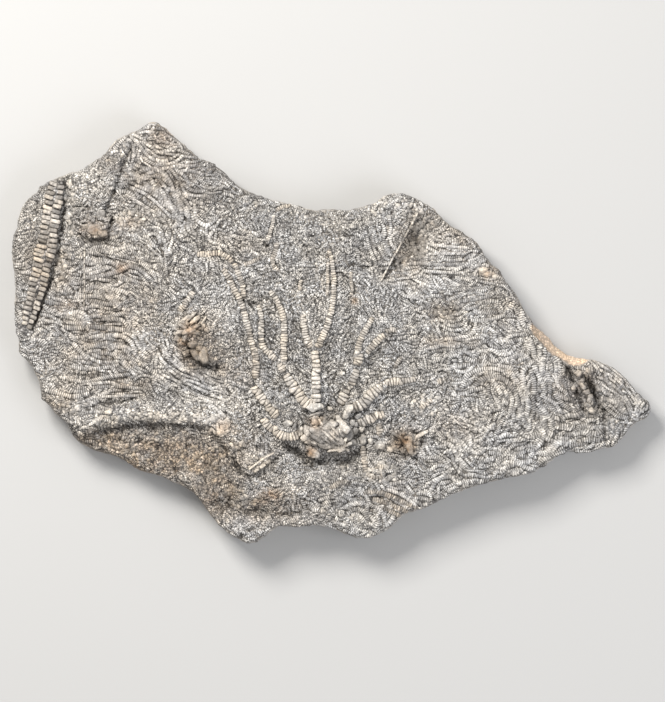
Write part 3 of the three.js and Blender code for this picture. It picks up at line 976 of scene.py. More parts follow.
class Profile(Enum):
    """Cross-sections of half-sunk fossil parts, as (sideways, upwards) shares, going over the top."""

    SLIVER = ((1, -0.3), (0.5, 0.95), (-0.5, 0.95), (-1, -0.3))
    ARM = (
        (1, -0.25), (1.0, 0.2), (0.88, 0.58), (0.6, 0.86), (0.25, 1.0), (-0.25, 1.0),
        (-0.6, 0.86), (-0.88, 0.58), (-1.0, 0.2), (-1, -0.25), (-0.5, -0.8), (0.5, -0.8),
    )
    PLATE = (
        (1, -0.3), (0.98, 0.3), (0.85, 0.68), (0.55, 0.9), (0.2, 1.0), (-0.2, 1.0),
        (-0.55, 0.9), (-0.85, 0.68), (-0.98, 0.3), (-1, -0.3), (-0.5, -0.8), (0.5, -0.8),
    )

    def shares(self) -> Array:
        """Gives the section's points, one row each."""
        return np.array(self.value, float)

    def sides(self) -> Array:
        """Gives how far down its flank each point is, from 0 on top to 1 at the stone."""
        return 1 - smooth(self.shares()[:, 1], -0.1, 0.75)


@dataclass
class Sweep:
    """A piece made of many closed, jointed bodies, each one profile carried along a centre line."""

    profile: Profile
    warmth: float = 0.0
    flank_shade: float = 0.85
    vertices: list[Array] = field(default_factory=list)
    triangles: list[Array] = field(default_factory=list)
    corners: list[Array] = field(default_factory=list)
    recess: list[Array] = field(default_factory=list)
    tone: list[Array] = field(default_factory=list)
    count: int = 0
    cursor: float = 0.0

    def add(
        self, centre: Array, half_width: Array, half_height: Array, slant: Array, recess: Array, tone: Array,
        roll: float | Array = 0.0,
    ) -> None:
        """Adds bodies that have the same number of rings.

        A ring's point is the ring's centre, plus its sideways share times the half width across the path,
        its upwards share times the half height, and a shift along the path that grows sideways by the slant.
        Both ends are closed by a fan.

        Args:
            centre: Ring centres, shaped (bodies, rings, 3).
            half_width: Shaped (bodies, rings).
            half_height: Shaped (bodies, rings).
            slant: Shift along the path per unit sideways, shaped (bodies, rings).
            recess: How dark each ring is made, by dirt and by painted shade, shaped (bodies, rings).
            tone: Paleness of each ring, shaped (bodies, rings).
            roll: Rise per unit sideways, which tips a body over, shaped (bodies, 1).
        """
        shares = self.profile.shares()
        bodies, rings, _ = centre.shape
        around = len(shares)
        along, across = headings(centre[:, :, :2])
        sideways = half_width[:, :, None] * shares[:, 0]
        flat = (
            centre[:, :, None, :2]
            + across[:, :, None] * sideways[..., None]
            + along[:, :, None] * (sideways * slant[:, :, None])[..., None]
        )
        level = centre[:, :, None, 2] + half_height[:, :, None] * shares[:, 1]
        level = level + sideways * np.reshape(roll, (-1, 1, 1))
        points = np.concatenate([flat, level[..., None]], axis=-1)
        flank = self.profile.sides()[None, None]
        # The flanks darken towards the stone: painted shade where the body meets the plate.
        dirt_and_shade = 1 - (1 - recess[:, :, None]) * (1 - self.flank_shade * flank)
        ring, step = np.meshgrid(np.arange(rings - 1), np.arange(around), indexing="ij")
        ring, step = ring.ravel(), step.ravel()
        quad = np.stack([np.stack([ring + i, step + j], -1) for i, j in ((0, 0), (0, 1), (1, 1), (1, 0))], 1)
        walls = np.concatenate([quad[:, [0, 1, 2]], quad[:, [0, 2, 3]]])
        fan = np.arange(1, around - 1)
        zero = np.zeros_like(fan)
        start = np.stack([np.stack([zero, k], -1) for k in (zero, fan + 1, fan)], 1)
        end = np.stack([np.stack([zero + rings - 1, k], -1) for k in (zero, fan, fan + 1)], 1)
        template = np.concatenate([walls, start, end])
        number = template[..., 0] * around + template[..., 1] % around
        offset = self.count + np.arange(bodies)[:, None, None] * rings * around
        self.triangles.append((number[None] + offset).reshape(-1, 3))
        place = self.cursor + np.arange(bodies) * (rings + 0.5)
        corner = template[None].astype(float) + np.stack([place, 0 * place], -1)[:, None, None]
        self.corners.append(corner.reshape(-1, 3, 2))
        self.vertices.append(points.reshape(-1, 3))
        self.recess.append(np.broadcast_to(dirt_and_shade, points.shape[:3]).ravel())
        self.tone.append(np.broadcast_to(tone[:, :, None], points.shape[:3]).ravel())
        self.count += bodies * rings * around
        self.cursor += bodies * (rings + 0.5)

    def finish(self, name: str, relief: Relief, material: bpy.types.Material) -> bpy.types.Object:
        """Makes the piece.

        Its texture map lays the bodies end to end in long rows, one row above the other.

        Args:
            name: The piece's name.
            relief: The plate's relief.
            material: Its finish.

        Returns:
            The new object.
        """
        vertices, triangles = np.concatenate(self.vertices), np.concatenate(self.triangles)
        recess, tone = np.concatenate(self.recess), np.concatenate(self.tone)
        masks = place_masks(relief, vertices[:, 0], vertices[:, 1], recess, tone)
        masks.brown = np.clip(masks.brown + self.warmth, 0, 1)
        around = len(self.profile.shares())
        corners = np.concatenate(self.corners)
        longest = 90.0
        row_length = max(math.sqrt(self.cursor * (around + 0.5)), longest)
        start = corners[:, :, 0].min(axis=1, keepdims=True)
        row = np.floor(start / row_length)
        size = row_length + longest
        uv = np.stack([corners[:, :, 0] - row * row_length, corners[:, :, 1] + row * (around + 0.5)], -1)
        return make_piece(name, vertices, triangles, masks, material, uv / size)


# ---------------------------------------------------------------------------------------------------------
# The stone plate
# ---------------------------------------------------------------------------------------------------------


@dataclass
class StonePlate:
    """The plate itself: bedding plane, broken edge and back, as one closed skin."""

    relief: Relief
    spacing: float = 0.60
    grain_spacing: float = 0.31
    back_spacing: float = 1.7
    levels: int = 11
    back_inset: float = 1.5
    top_inset: float = 0.2
    smoother_break: float = 0.45

    def _lattice(self, ring: Array, spacing: float) -> Array:
        """Gives the points of a lattice of equal triangles over a ring, slightly shaken."""
        low, high = ring.min(0), ring.max(0)
        rows = np.arange(low[1], high[1], spacing * math.sqrt(3) / 2)
        columns = np.arange(low[0], high[0], spacing)
        x, y = np.meshgrid(columns, rows)
        x = (x + (np.arange(len(rows)) % 2)[:, None] * spacing / 2).ravel()
        y = y.ravel()
        shake = 0.2 * spacing
        return np.stack([x + shake * Noise(41)(x, y, 0.7), y + shake * Noise(42)(x, y, 0.7)], 1)

    def _join(self, ring: Array, inner: Array) -> Array:
        """Joins a ring and the points inside it by triangles, by a constrained Delaunay triangulation.

        Args:
            ring: The closed border.
            inner: The points inside.

        Returns:
            Triangles that number the ring first and then the inner points.
        """
        points = [Vector(p) for p in np.vstack([ring, inner]).tolist()]
        result = delaunay_2d_cdt(points, [], [list(range(len(ring)))], 1, 1e-7)
        if len(result[0]) != len(points):
            raise ValueError("the plate's border crosses itself")
        source = np.array([ids[0] for ids in result[3]])
        return source[np.array(result[2])]

    def _bedding_points(self, rim: Array, gap: float) -> Array:
        """Chooses the bedding plane's points: close together where the grain shows, wider under the mat.

        Args:
            rim: The upper rim.
            gap: Least distance from the outline.

        Returns:
            The points, one row each.
        """
        chosen = []
        for spacing, fine in ((self.grain_spacing, True), (self.spacing, False)):
            points = self._lattice(rim, spacing)
            x, y = points.T
            room = self.relief.margin(x, y) - gap - break_width(x, y)
            grainy = stain_strength(GRANULAR_BEDS, x, y) > 0.42
            chosen.append(points[(room > 0) & (grainy == fine)])
        return np.vstack(chosen)

    def _wall(self, ring: Array, outward: Array) -> tuple[Array, Array]:
        """Works out the broken edge: levels from the bedding plane down to the back.

        A level's inset is a shallow bulge plus noise stretched along the bedding, so that the edge breaks
        in thin steps. Each level keeps one point for each point of the ring.

        Args:
            ring: The outline.
            outward: Unit vectors out of the outline.

        Returns:
            Points shaped (levels, ring, 3), and how far each lies back in a hollow.
        """
        share = np.linspace(0, 1, self.levels)[:, None]
        top = self.relief.height(ring[:, 0], ring[:, 1])[None] - 0.15
        bottom = 0.25 + 0.25 * Noise(51)(ring[:, 0], ring[:, 1], 4.0)[None]
        level = top * (1 - share) + bottom * share
        travelled = np.arange(len(ring))[None] * OUTLINE_STEP + 0 * level
        broken = 0.45 * Noise(52)(travelled, level * 5, 9.0) + 0.3 * Noise(53)(travelled, level * 2.5, 2.6)
        broken += 0.16 * Noise(54)(travelled, level, 1.0)
        bulge = self.top_inset * (1 - share) ** 2 + self.back_inset * smooth(share, 0.35, 1.0)
        inner = np.clip(broken, -0.15, 1) * smooth(share, 0.0, 0.25) + bulge
        slant = break_width(ring[:, 0], ring[:, 1])[None]
        inset = inner * (1 - 0.85 * smooth(slant, 0.2, 2.0)) + slant * (1 - smooth(share, 0.0, 0.6))
        flat = ring[None] - outward[None] * inset[..., None]
        return np.concatenate([flat, level[..., None]], -1), np.clip(broken * 0.8, 0, 1)

    def build(self, material: bpy.types.Material) -> bpy.types.Object:
        """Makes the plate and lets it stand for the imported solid.

        Args:
            material: Its finish.

        Returns:
            The new object.
        """
        ring = self.relief.outline
        wall, wall_hollow = self._wall(ring, self._smooth_ring(outward_of(ring)))
        rim, foot = wall[0], wall[-1]
        face = self._bedding_points(rim[:, :2], 0.45 + self.top_inset)
        face_triangles = self._join(rim[:, :2], face)
        back = self._lattice(foot[:, :2], self.back_spacing)
        back = back[self.relief.margin(back[:, 0], back[:, 1]) > self.back_inset + 1.3]
        back_triangles = self._join(foot[:, :2], back)
        count = len(ring)
        face_points = np.column_stack([face, self.relief.height(face[:, 0], face[:, 1])])
        rough = 0.35 + 0.3 * Noise(61)(*back.T, 7.0) + 0.2 * Noise(62)(*back.T, 3.0)
        back_points = np.column_stack([back, np.clip(rough, 0, None)])
        walls = wall.reshape(-1, 3)
        vertices = np.vstack([walls, face_points, back_points])
        a, b = band(self.levels, count)
        side = np.concatenate([np.stack([a, a + count, b + count], 1), np.stack([a, b + count, b], 1)])
        foot_ids = (self.levels - 1) * count + np.arange(count)
        top_ids = np.concatenate([np.arange(count), len(walls) + np.arange(len(face))])
        back_ids = np.concatenate([foot_ids, len(walls) + len(face) + np.arange(len(back))])
        triangles = np.concatenate([side, top_ids[face_triangles], back_ids[back_triangles][:, ::-1]])
        masks = self._masks(vertices, wall_hollow, len(face))
        piece = make_piece("stone_plate", vertices, triangles, masks, material)
        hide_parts(CAD_NODE)
        return piece

    def _smooth_ring(self, values: Array) -> Array:
        """Averages unit vectors round the ring, so that the insets don't cross at sharp corners."""
        total = sum(np.roll(values, shift, axis=0) for shift in range(-5, 6))
        return total / np.linalg.norm(total, axis=1)[:, None]

    def _masks(self, vertices: Array, wall_hollow: Array, face_count: int) -> Masks:
        """Works out the plate's masks. The bedding plane is dark: dirt, since the mat hides what is clean, and
        painted shade between its grains and in its hollows.

        Args:
            vertices: All vertices: the edge, then the bedding plane, then the back.
            wall_hollow: How far back the edge's points lie.
            face_count: How many points the bedding plane has.

        Returns:
            The masks. Crystals show less on the edge and the back.
        """
        x, y = vertices[:, 0], vertices[:, 1]
        edge = wall_hollow.size
        recess = np.full(len(vertices), 0.25)
        # The broken edge darkens where it lies back in a hollow: painted shade.
        recess[:edge] = 0.10 + 0.45 * wall_hollow.ravel()
        face = slice(edge, edge + face_count)
        bed = stain_strength(GRANULAR_BEDS, x, y)
        coarse, own = grains(x, y, *GRAIN_SIZES[1][:2])
        fine, _ = grains(x, y, *GRAIN_SIZES[2][:2])
        # Gaps between the grains and the plate's hollows are darkened: painted shade.
        gaps = 0.75 * (1 - coarse) + 0.35 * (1 - fine)
        pit = 0.65 * self.relief.hollow(x, y)
        recess[face] = np.clip((0.38 - 0.28 * bed + 0.7 * gaps + pit)[face], 0, 1)
        tone = 0.30 + 0.22 * Noise(63)(x, y, 6.0) + 0.34 * Noise(64)(x, y, 1.6) + 0.6 * bed * (own - 0.4)
        # The broken edge shows the beds as level bands, and is painted darker where it lies back in a hollow:
        # painted shade.
        travelled = np.tile(np.arange(wall_hollow.shape[1]) * OUTLINE_STEP, wall_hollow.shape[0])
        z = vertices[:edge, 2]
        bands = 0.34 * Noise(55)(travelled, 2.6 * z, 6.0)
        tone[:edge] = 0.36 + bands + 0.12 * Noise(56)(travelled, z, 1.6) - 0.3 * wall_hollow.ravel()
        masks = place_masks(self.relief, x, y, recess, tone)
        masks.recess = masks.recess * (1 - 0.9 * masks.fresh)
        masks.grainy[:edge] = self.smoother_break
        masks.grainy[edge + face_count :] = self.smoother_break
        return masks


# ---------------------------------------------------------------------------------------------------------
# Jointed arms laid one by one
# ---------------------------------------------------------------------------------------------------------


@dataclass(frozen=True)
class Arm:
    """One jointed fossil arm: its course, its width, which may taper, and how high it stands."""

    path: Path
    width: float
    end_width: float | None = None
    pitch: float | None = None
    rise: float = 0.35
    tone: float = 0.75
    tall: float = 0.55
    slant: float = 0.0
    joint_dirt: float = 1.0


# Rings of one ossicle: where each lies along it, and its share of the full size.
OSSICLE_RINGS = ((0.0, 0.70), (0.17, 0.93), (0.5, 1.0), (0.83, 0.93))


def lay_arms(sweep: Sweep, relief: Relief, arms: list[Arm], seed: int) -> None:
    """Lays jointed arms on the plate.

    The course is marked off in ossicles. Each has its own small change of width, height and place, and
    its joints lean to and fro, as the wedge-shaped plates of a real arm do.

    Args:
        sweep: The piece that they join.
        relief: The plate's relief.
        arms: The arms.
        seed: Seed of the small changes.
    """
    rng = np.random.default_rng(seed)
    where = np.array([w for w, _ in OSSICLE_RINGS])
    share = np.array([s for _, s in OSSICLE_RINGS])
    for arm in arms:
        end = arm.width if arm.end_width is None else arm.end_width
        pitch = arm.pitch or 0.26 * (arm.width + end) / 2 + 0.27
        marks = smooth_path(np.array(arm.path, float), pitch)
        joints = len(marks) - 1
        spread = np.arange(joints + 1) + rng.uniform(-0.11, 0.11, joints + 1) * (joints > 2)
        position = np.append((np.arange(joints)[:, None] + where).ravel(), joints)
        size = np.append(np.tile(share, joints), 0.7)
        even = np.arange(joints + 1)
        x, y = (np.interp(np.interp(position, even, spread), even, marks[:, k]) for k in (0, 1))
        owner = np.minimum(position.astype(int), joints - 1)
        vary = rng.normal(0, 1, (6, joints))
        across = np.gradient(np.stack([-y, x]), axis=1)
        across /= np.maximum(np.hypot(*across), 1e-9)
        drift = 0.03 * arm.width * vary[4][owner]
        x, y = x + across[0] * drift, y + across[1] * drift
        width = (arm.width + (end - arm.width) * position / joints) / 2
        width = width * size * (1 + 0.07 * vary[0][owner])
        ground = relief.height(x, y)
        ground = np.convolve(np.pad(ground, 6, mode="edge"), np.ones(13) / 13, "valid")
        tall = arm.tall * width / size * (0.5 + 0.5 * size) * (1 + 0.10 * vary[1][owner])
        ends = np.ones(len(position))
        if joints > 1:
            ends = smooth(np.minimum(position, joints - position), -0.3, 1.2)
        level = ground + arm.rise + 0.09 * vary[2][owner] - 0.5 * (1 - ends)
        lean = arm.slant + 0.03 * np.where(np.round(position).astype(int) % 2, 1, -1) + 0.05 * vary[3][owner]
        joint_dirt = arm.joint_dirt * np.append(np.tile([1.0, 0.35, 0.0, 0.35], joints), 1.0)
        worn = np.clip(vary[5][owner] - 1.1, 0, 1)
        tone = 0.85 * arm.tone + 0.16 * vary[3][owner] + 0.10 * vary[0][owner]
        sweep.add(
            np.stack([x, y, level], -1)[None], (width * (0.7 + 0.3 * ends))[None],
            (tall * (0.6 + 0.4 * ends) * (1 - 0.3 * worn))[None], lean[None],
            np.clip(joint_dirt + 0.5 * worn, 0, 1)[None], tone[None],
        )


CROWN_ARMS = [
    # left, low
    Arm([(-9, -29.2), (-12, -30.2), (-15, -29.5), (-17, -28), (-19, -26.5), (-20, -24.8)], 2.7, 2.2,
        rise=0.34),
    Arm([(-15.6, -24.4), (-17.5, -22.5), (-19.5, -20), (-21.5, -17.5), (-22.6, -15.6)], 2.8, 2.3,
        rise=0.41),
    Arm([(-22, -13.4), (-22, -8), (-22.6, -4.6), (-23.5, -2), (-24, 1), (-25, 4), (-26, 8), (-28, 12),
        (-30, 16), (-31.6, 18.4)], 2.1, 1.7, rise=0.32),
    Arm([(-25.4, 9.6), (-26, 14), (-27.4, 18), (-28.2, 20)], 1.6, 1.6, rise=0.3),
    Arm([(-28.8, 20.4), (-31, 22.4), (-33, 23), (-36, 22.6), (-39, 22.6)], 1.8, 1.7, pitch=0.72, rise=0.32),
    # left, main
    Arm([(-4.6, -20.8), (-6.6, -20.8), (-8.4, -19.4), (-10.2, -17), (-12, -14.4), (-13.4, -12)], 3.6, 2.6,
        rise=0.48, tone=0.95),
    Arm([(-14, -11.4), (-14.8, -9.8), (-15.4, -9)], 2.6, 2.2, rise=0.41, tone=0.95),
    Arm([(-14, -8.6), (-14, -4), (-13.8, 0), (-14, 4), (-15, 7.2), (-16.2, 10), (-18, 12)], 2.1, 1.6,
        rise=0.34, tone=0.85),
    Arm([(-16, -8), (-17.6, -6.6), (-19.4, -4.6), (-20.4, -2), (-20.3, 2), (-20.5, 5), (-21.4, 8)], 2.2,
        1.4, rise=0.34, tone=0.9),
    # centre
    Arm([(-4.5, -20.2), (-4.5, -17), (-4.7, -14), (-4.5, -10), (-4.8, -7.4), (-5, -5.2)], 3, 2.4,
        pitch=1.25, rise=0.44, tone=0.95),
    Arm([(-6.2, -4.4), (-7.2, -2), (-7.9, 1), (-8.2, 3.4), (-8.5, 5.2)], 2.3, 1.7, rise=0.37, tone=0.95),
    Arm([(-4.2, -4.4), (-3, -2), (-1.7, 1), (-0.7, 4), (0.2, 8), (0.5, 12), (0.5, 16), (0.1, 20), (-0.7,
        23.6)], 2.2, 1.2, rise=0.35, tone=0.85),
    Arm([(-1.5, 10.6), (-1.2, 14), (-1.3, 18), (-1, 20.6)], 1, 0.9, rise=0.26),
    # right of centre
    Arm([(2.2, -20.6), (3.4, -18.6), (4.2, -16.4)], 3.2, 2.8, rise=0.44, tone=0.7),
    Arm([(5.6, -15.2), (6.4, -12.8), (7.2, -10.6)], 2.5, 2.4, rise=0.34, tone=0.6),
    Arm([(7.2, -9.6), (7.7, -7.8), (8, -6)], 3.1, 2.7, rise=0.44, tone=0.8),
    Arm([(7.6, -5.4), (8, -3), (9, -0.4), (10.6, 2.4), (12, 4.4)], 2.2, 1.5, rise=0.34, tone=0.75),
    Arm([(10, -5.8), (12, -3.6), (14, -1.6), (15.2, -0.6)], 2.2, 1.9, rise=0.35, tone=0.85),
    Arm([(15.6, 0.2), (17, 0.7), (19.4, 0.8)], 1.8, 1.5, rise=0.3, tone=0.8),
    # right, main
    Arm([(4.4, -22.6), (6.4, -21.9), (9, -20.4), (11, -18.4), (12.8, -16.8), (14.2, -15.4)], 3.2, 3,
        rise=0.5, tone=0.8),
    Arm([(15.4, -14.8), (18, -14.1), (21, -14.1), (24.2, -13.4)], 2.5, 1.7, rise=0.37, tone=0.75),
    Arm([(18.3, -10.2), (19, -8.6), (20.2, -7)], 1.5, 1.2, rise=0.26, tone=0.6),
    # right, low
    Arm([(7.6, -26.4), (10, -25.4), (12.5, -24.4), (15.2, -23.4)], 2.9, 2.2, rise=0.46, tone=0.85),
    Arm([(13.6, -26.2), (13.8, -28.4), (13.9, -30.2)], 2.1, 2.2, pitch=0.8, rise=0.3, tone=0.6),
    Arm([(8.9, -32.6), (9.2, -35.4), (9.5, -38.4), (10.2, -41), (12.4, -41.8), (15, -41.4)], 1.8, 1.6,
        pitch=0.8, rise=0.28, tone=0.55),
    Arm([(12.2, -39), (13.8, -38.8), (15.6, -39)], 1.7, 1.5, pitch=0.7, rise=0.3, tone=0.75),
    Arm([(-0.6, -45), (0.8, -44.2), (2.6, -43.2), (4.8, -43.8)], 1.7, 1.4, pitch=0.6, rise=0.3, tone=0.6),
    # long combs near the lower edge
    Arm([(8.7, -46.7), (11.2, -46), (13.9, -46.2), (17.9, -47.8), (21.4, -49.4), (25, -50.6)], 1.7, 1.5,
        pitch=0.62, rise=0.24, tone=0.5),
    Arm([(11.6, -48.2), (15, -49), (19.1, -50.7), (22, -51.9)], 1.6, 1.4, pitch=0.6, rise=0.22, tone=0.45),
    Arm([(14.5, -50.4), (17.9, -52.2), (19.8, -53)], 1.5, 1.3, pitch=0.6, rise=0.22, tone=0.5),
    # small pieces
    Arm([(-18.6, 26.4), (-17.8, 29), (-17.1, 31.6), (-16.9, 34)], 1.3, 1.1, rise=0.26, tone=0.85),
    Arm([(-16.4, 34.8), (-15, 36), (-13.2, 36.6), (-11.6, 36.2)], 1.3, 1.2, rise=0.23, tone=0.6),
    Arm([(-15.9, 26), (-16.3, 23.6), (-17.2, 21), (-16.6, 19), (-15.2, 17.6)], 1.5, 1.3, rise=0.28,
        tone=0.6),
    Arm([(-25.4, 19.6), (-23, 20.4), (-20.6, 21.6)], 1.3, 1.1, rise=0.26, tone=0.6),
    Arm([(5.6, 10.4), (5.8, 13), (5.5, 15.6), (5.6, 18)], 1.1, 1, rise=0.26, tone=0.7),
    Arm([(-44, 6), (-42.6, 8.2), (-41.2, 10), (-40, 11.8)], 2.1, 1.8, pitch=0.62, rise=0.3, tone=0.8),
    Arm([(25.4, -22), (27.4, -20.6), (29, -19)], 1.7, 1.4, rise=0.3, tone=0.65),
    Arm([(30.4, -14.2), (32.2, -14)], 1.8, 1.6, rise=0.26, tone=0.75),
    Arm([(-9.2, 12), (-9.3, 13.6), (-8.9, 15.4)], 1.2, 1, rise=0.25, tone=0.7),
    Arm([(-1.8, 21.6), (-1, 22.6), (-0.6, 24.2)], 1.2, 1, rise=0.26, tone=0.85),
]


@dataclass
class CrownArms:
    """The forking arms that spread from the crown, and the stray pieces of them between."""

    relief: Relief
    arms: list[Arm] = field(default_factory=lambda: CROWN_ARMS)

    def build(self, material: bpy.types.Material) -> bpy.types.Object:
        """Makes the crown's arms.

        Args:
            material: Their finish.

        Returns:
            The new object.
        """
        sweep = Sweep(Profile.ARM, warmth=0.22)
        lay_arms(sweep, self.relief, self.arms, SEED + 1)
        return sweep.finish("crown_arms", self.relief, material)


@dataclass
class ThickArm:
    """The thick arm along the left edge: two rows of broad plates that meet in a zigzag."""

    relief: Relief
    spine: Path = field(
        default_factory=lambda: [
            (-79.5, 43.6), (-79.8, 41.4), (-80.3, 38.7), (-81.1, 34.6), (-81.7, 30.5), (-82.3, 26.3),
            (-83.1, 22.2), (-84.1, 18), (-85.5, 12.3), (-87, 6.5), (-88.3, 1.3),
        ]
    )
    widths: tuple[float, ...] = (4.2, 5.0, 5.3, 5.5, 5.6, 5.8, 5.8, 5.6, 5.2, 4.2, 3.0)
    pitch: float = 1.42
    lean: float = 0.07

    def build(self, material: bpy.types.Material) -> bpy.types.Object:
        """Makes the arm: each row is the spine's course, moved sideways by a quarter of the arm's width.

        The second row starts half a plate later, so the plates alternate.

        Args:
            material: Its finish.

        Returns:
            The new object.
        """
        course = smooth_path(np.column_stack([np.array(self.spine), self.widths]), self.pitch / 2)
        across = headings(course[:, :2])[1]
        sweep = Sweep(Profile.PLATE, warmth=0.22)
        arms = []
        rng = np.random.default_rng(SEED + 8)
        for side, start in ((-1, 0), (1, 1)):
            for first in range(start, len(course) - 2, 2):
                middle = course[first : first + 3]
                row = middle[:, :2] + across[first : first + 3] * (side * middle[:, 2:] / 4)
                shake = rng.normal(0, 1, 6)
                row = row[1] + (row - row[1]) * 0.94 + 0.10 * shake[:2]
                tone = 0.58 + 0.17 * shake[2]
                arms.append(
                    Arm([tuple(p) for p in row], middle[1, 2] * (0.53 + 0.045 * shake[3]),
                        pitch=self.pitch * 1.2, rise=0.12 + 0.1 * shake[4], tone=tone,
                        tall=0.46, slant=self.lean + 0.04 * shake[5])
                )
        lay_arms(sweep, self.relief, arms, SEED + 2)
        return sweep.finish("thick_arm", self.relief, material)


# Single rods, and the two ribs at the ledge's lower end.
RODS = [
    Arm([(24.8, 34.6), (22.6, 30.4), (19.9, 25.6), (17, 20.4), (14, 14.6)], 0.62, 0.5, pitch=1.3,
        rise=0.85, tone=0.84, tall=0.6, joint_dirt=0.5),
    Arm([(-71.4, 26), (-71.6, 18), (-71.5, 11), (-71.9, 5)], 0.55, 0.5, pitch=2.2, rise=0.5, tone=0.6,
        tall=0.6),
    Arm([(-72.6, 24), (-72.7, 15), (-72.9, 8)], 0.45, 0.4, pitch=2.6, rise=0.4, tone=0.45, tall=0.6),
    Arm([(-44, -28.3), (-39.5, -30.2), (-34.6, -33)], 0.4, 0.35, pitch=1.8, rise=0.35, tone=0.5, tall=0.6),
    Arm([(-24, -39.6), (-21.4, -37.6), (-18.8, -35.8), (-16.6, -34.7)], 0.7, 0.55, pitch=2, rise=1.1,
        tone=1.1, tall=0.6, joint_dirt=0.3),
    Arm([(-22.8, -40.4), (-20.2, -38.6), (-17.6, -36.8)], 1.2, 1, pitch=2.4, rise=0.6, tone=0.8, tall=0.4),
]


@dataclass
class LooseRods:
    """Thin straight rods and smooth ribs that lie on the mat."""

    relief: Relief
    rods: list[Arm] = field(default_factory=lambda: RODS)

    def build(self, material: bpy.types.Material) -> bpy.types.Object:
        """Makes the rods.

        Args:
            material: Their finish.

        Returns:
            The new object.
        """
        sweep = Sweep(Profile.ARM)
        lay_arms(sweep, self.relief, self.rods, SEED + 3)
        return sweep.finish("loose_rods", self.relief, material)


# ---------------------------------------------------------------------------------------------------------
# Plates and lumps
# ---------------------------------------------------------------------------------------------------------


@dataclass(frozen=True)
class Lump:
    """One rounded or angular plate: its middle, half sizes, turn in degrees, height of its middle, finish."""

    x: float
    y: float
    length: float
    width: float
    height: float
    turn: float = 0.0
    rise: float = 0.3
    tone: float = 0.8
    edge: float = 0.75
    tilt: float = 0.0


def lumps(*rows: tuple[float, ...]) -> list[Lump]:
    """Gives lumps from rows of their values."""
    return [Lump(*row) for row in rows]


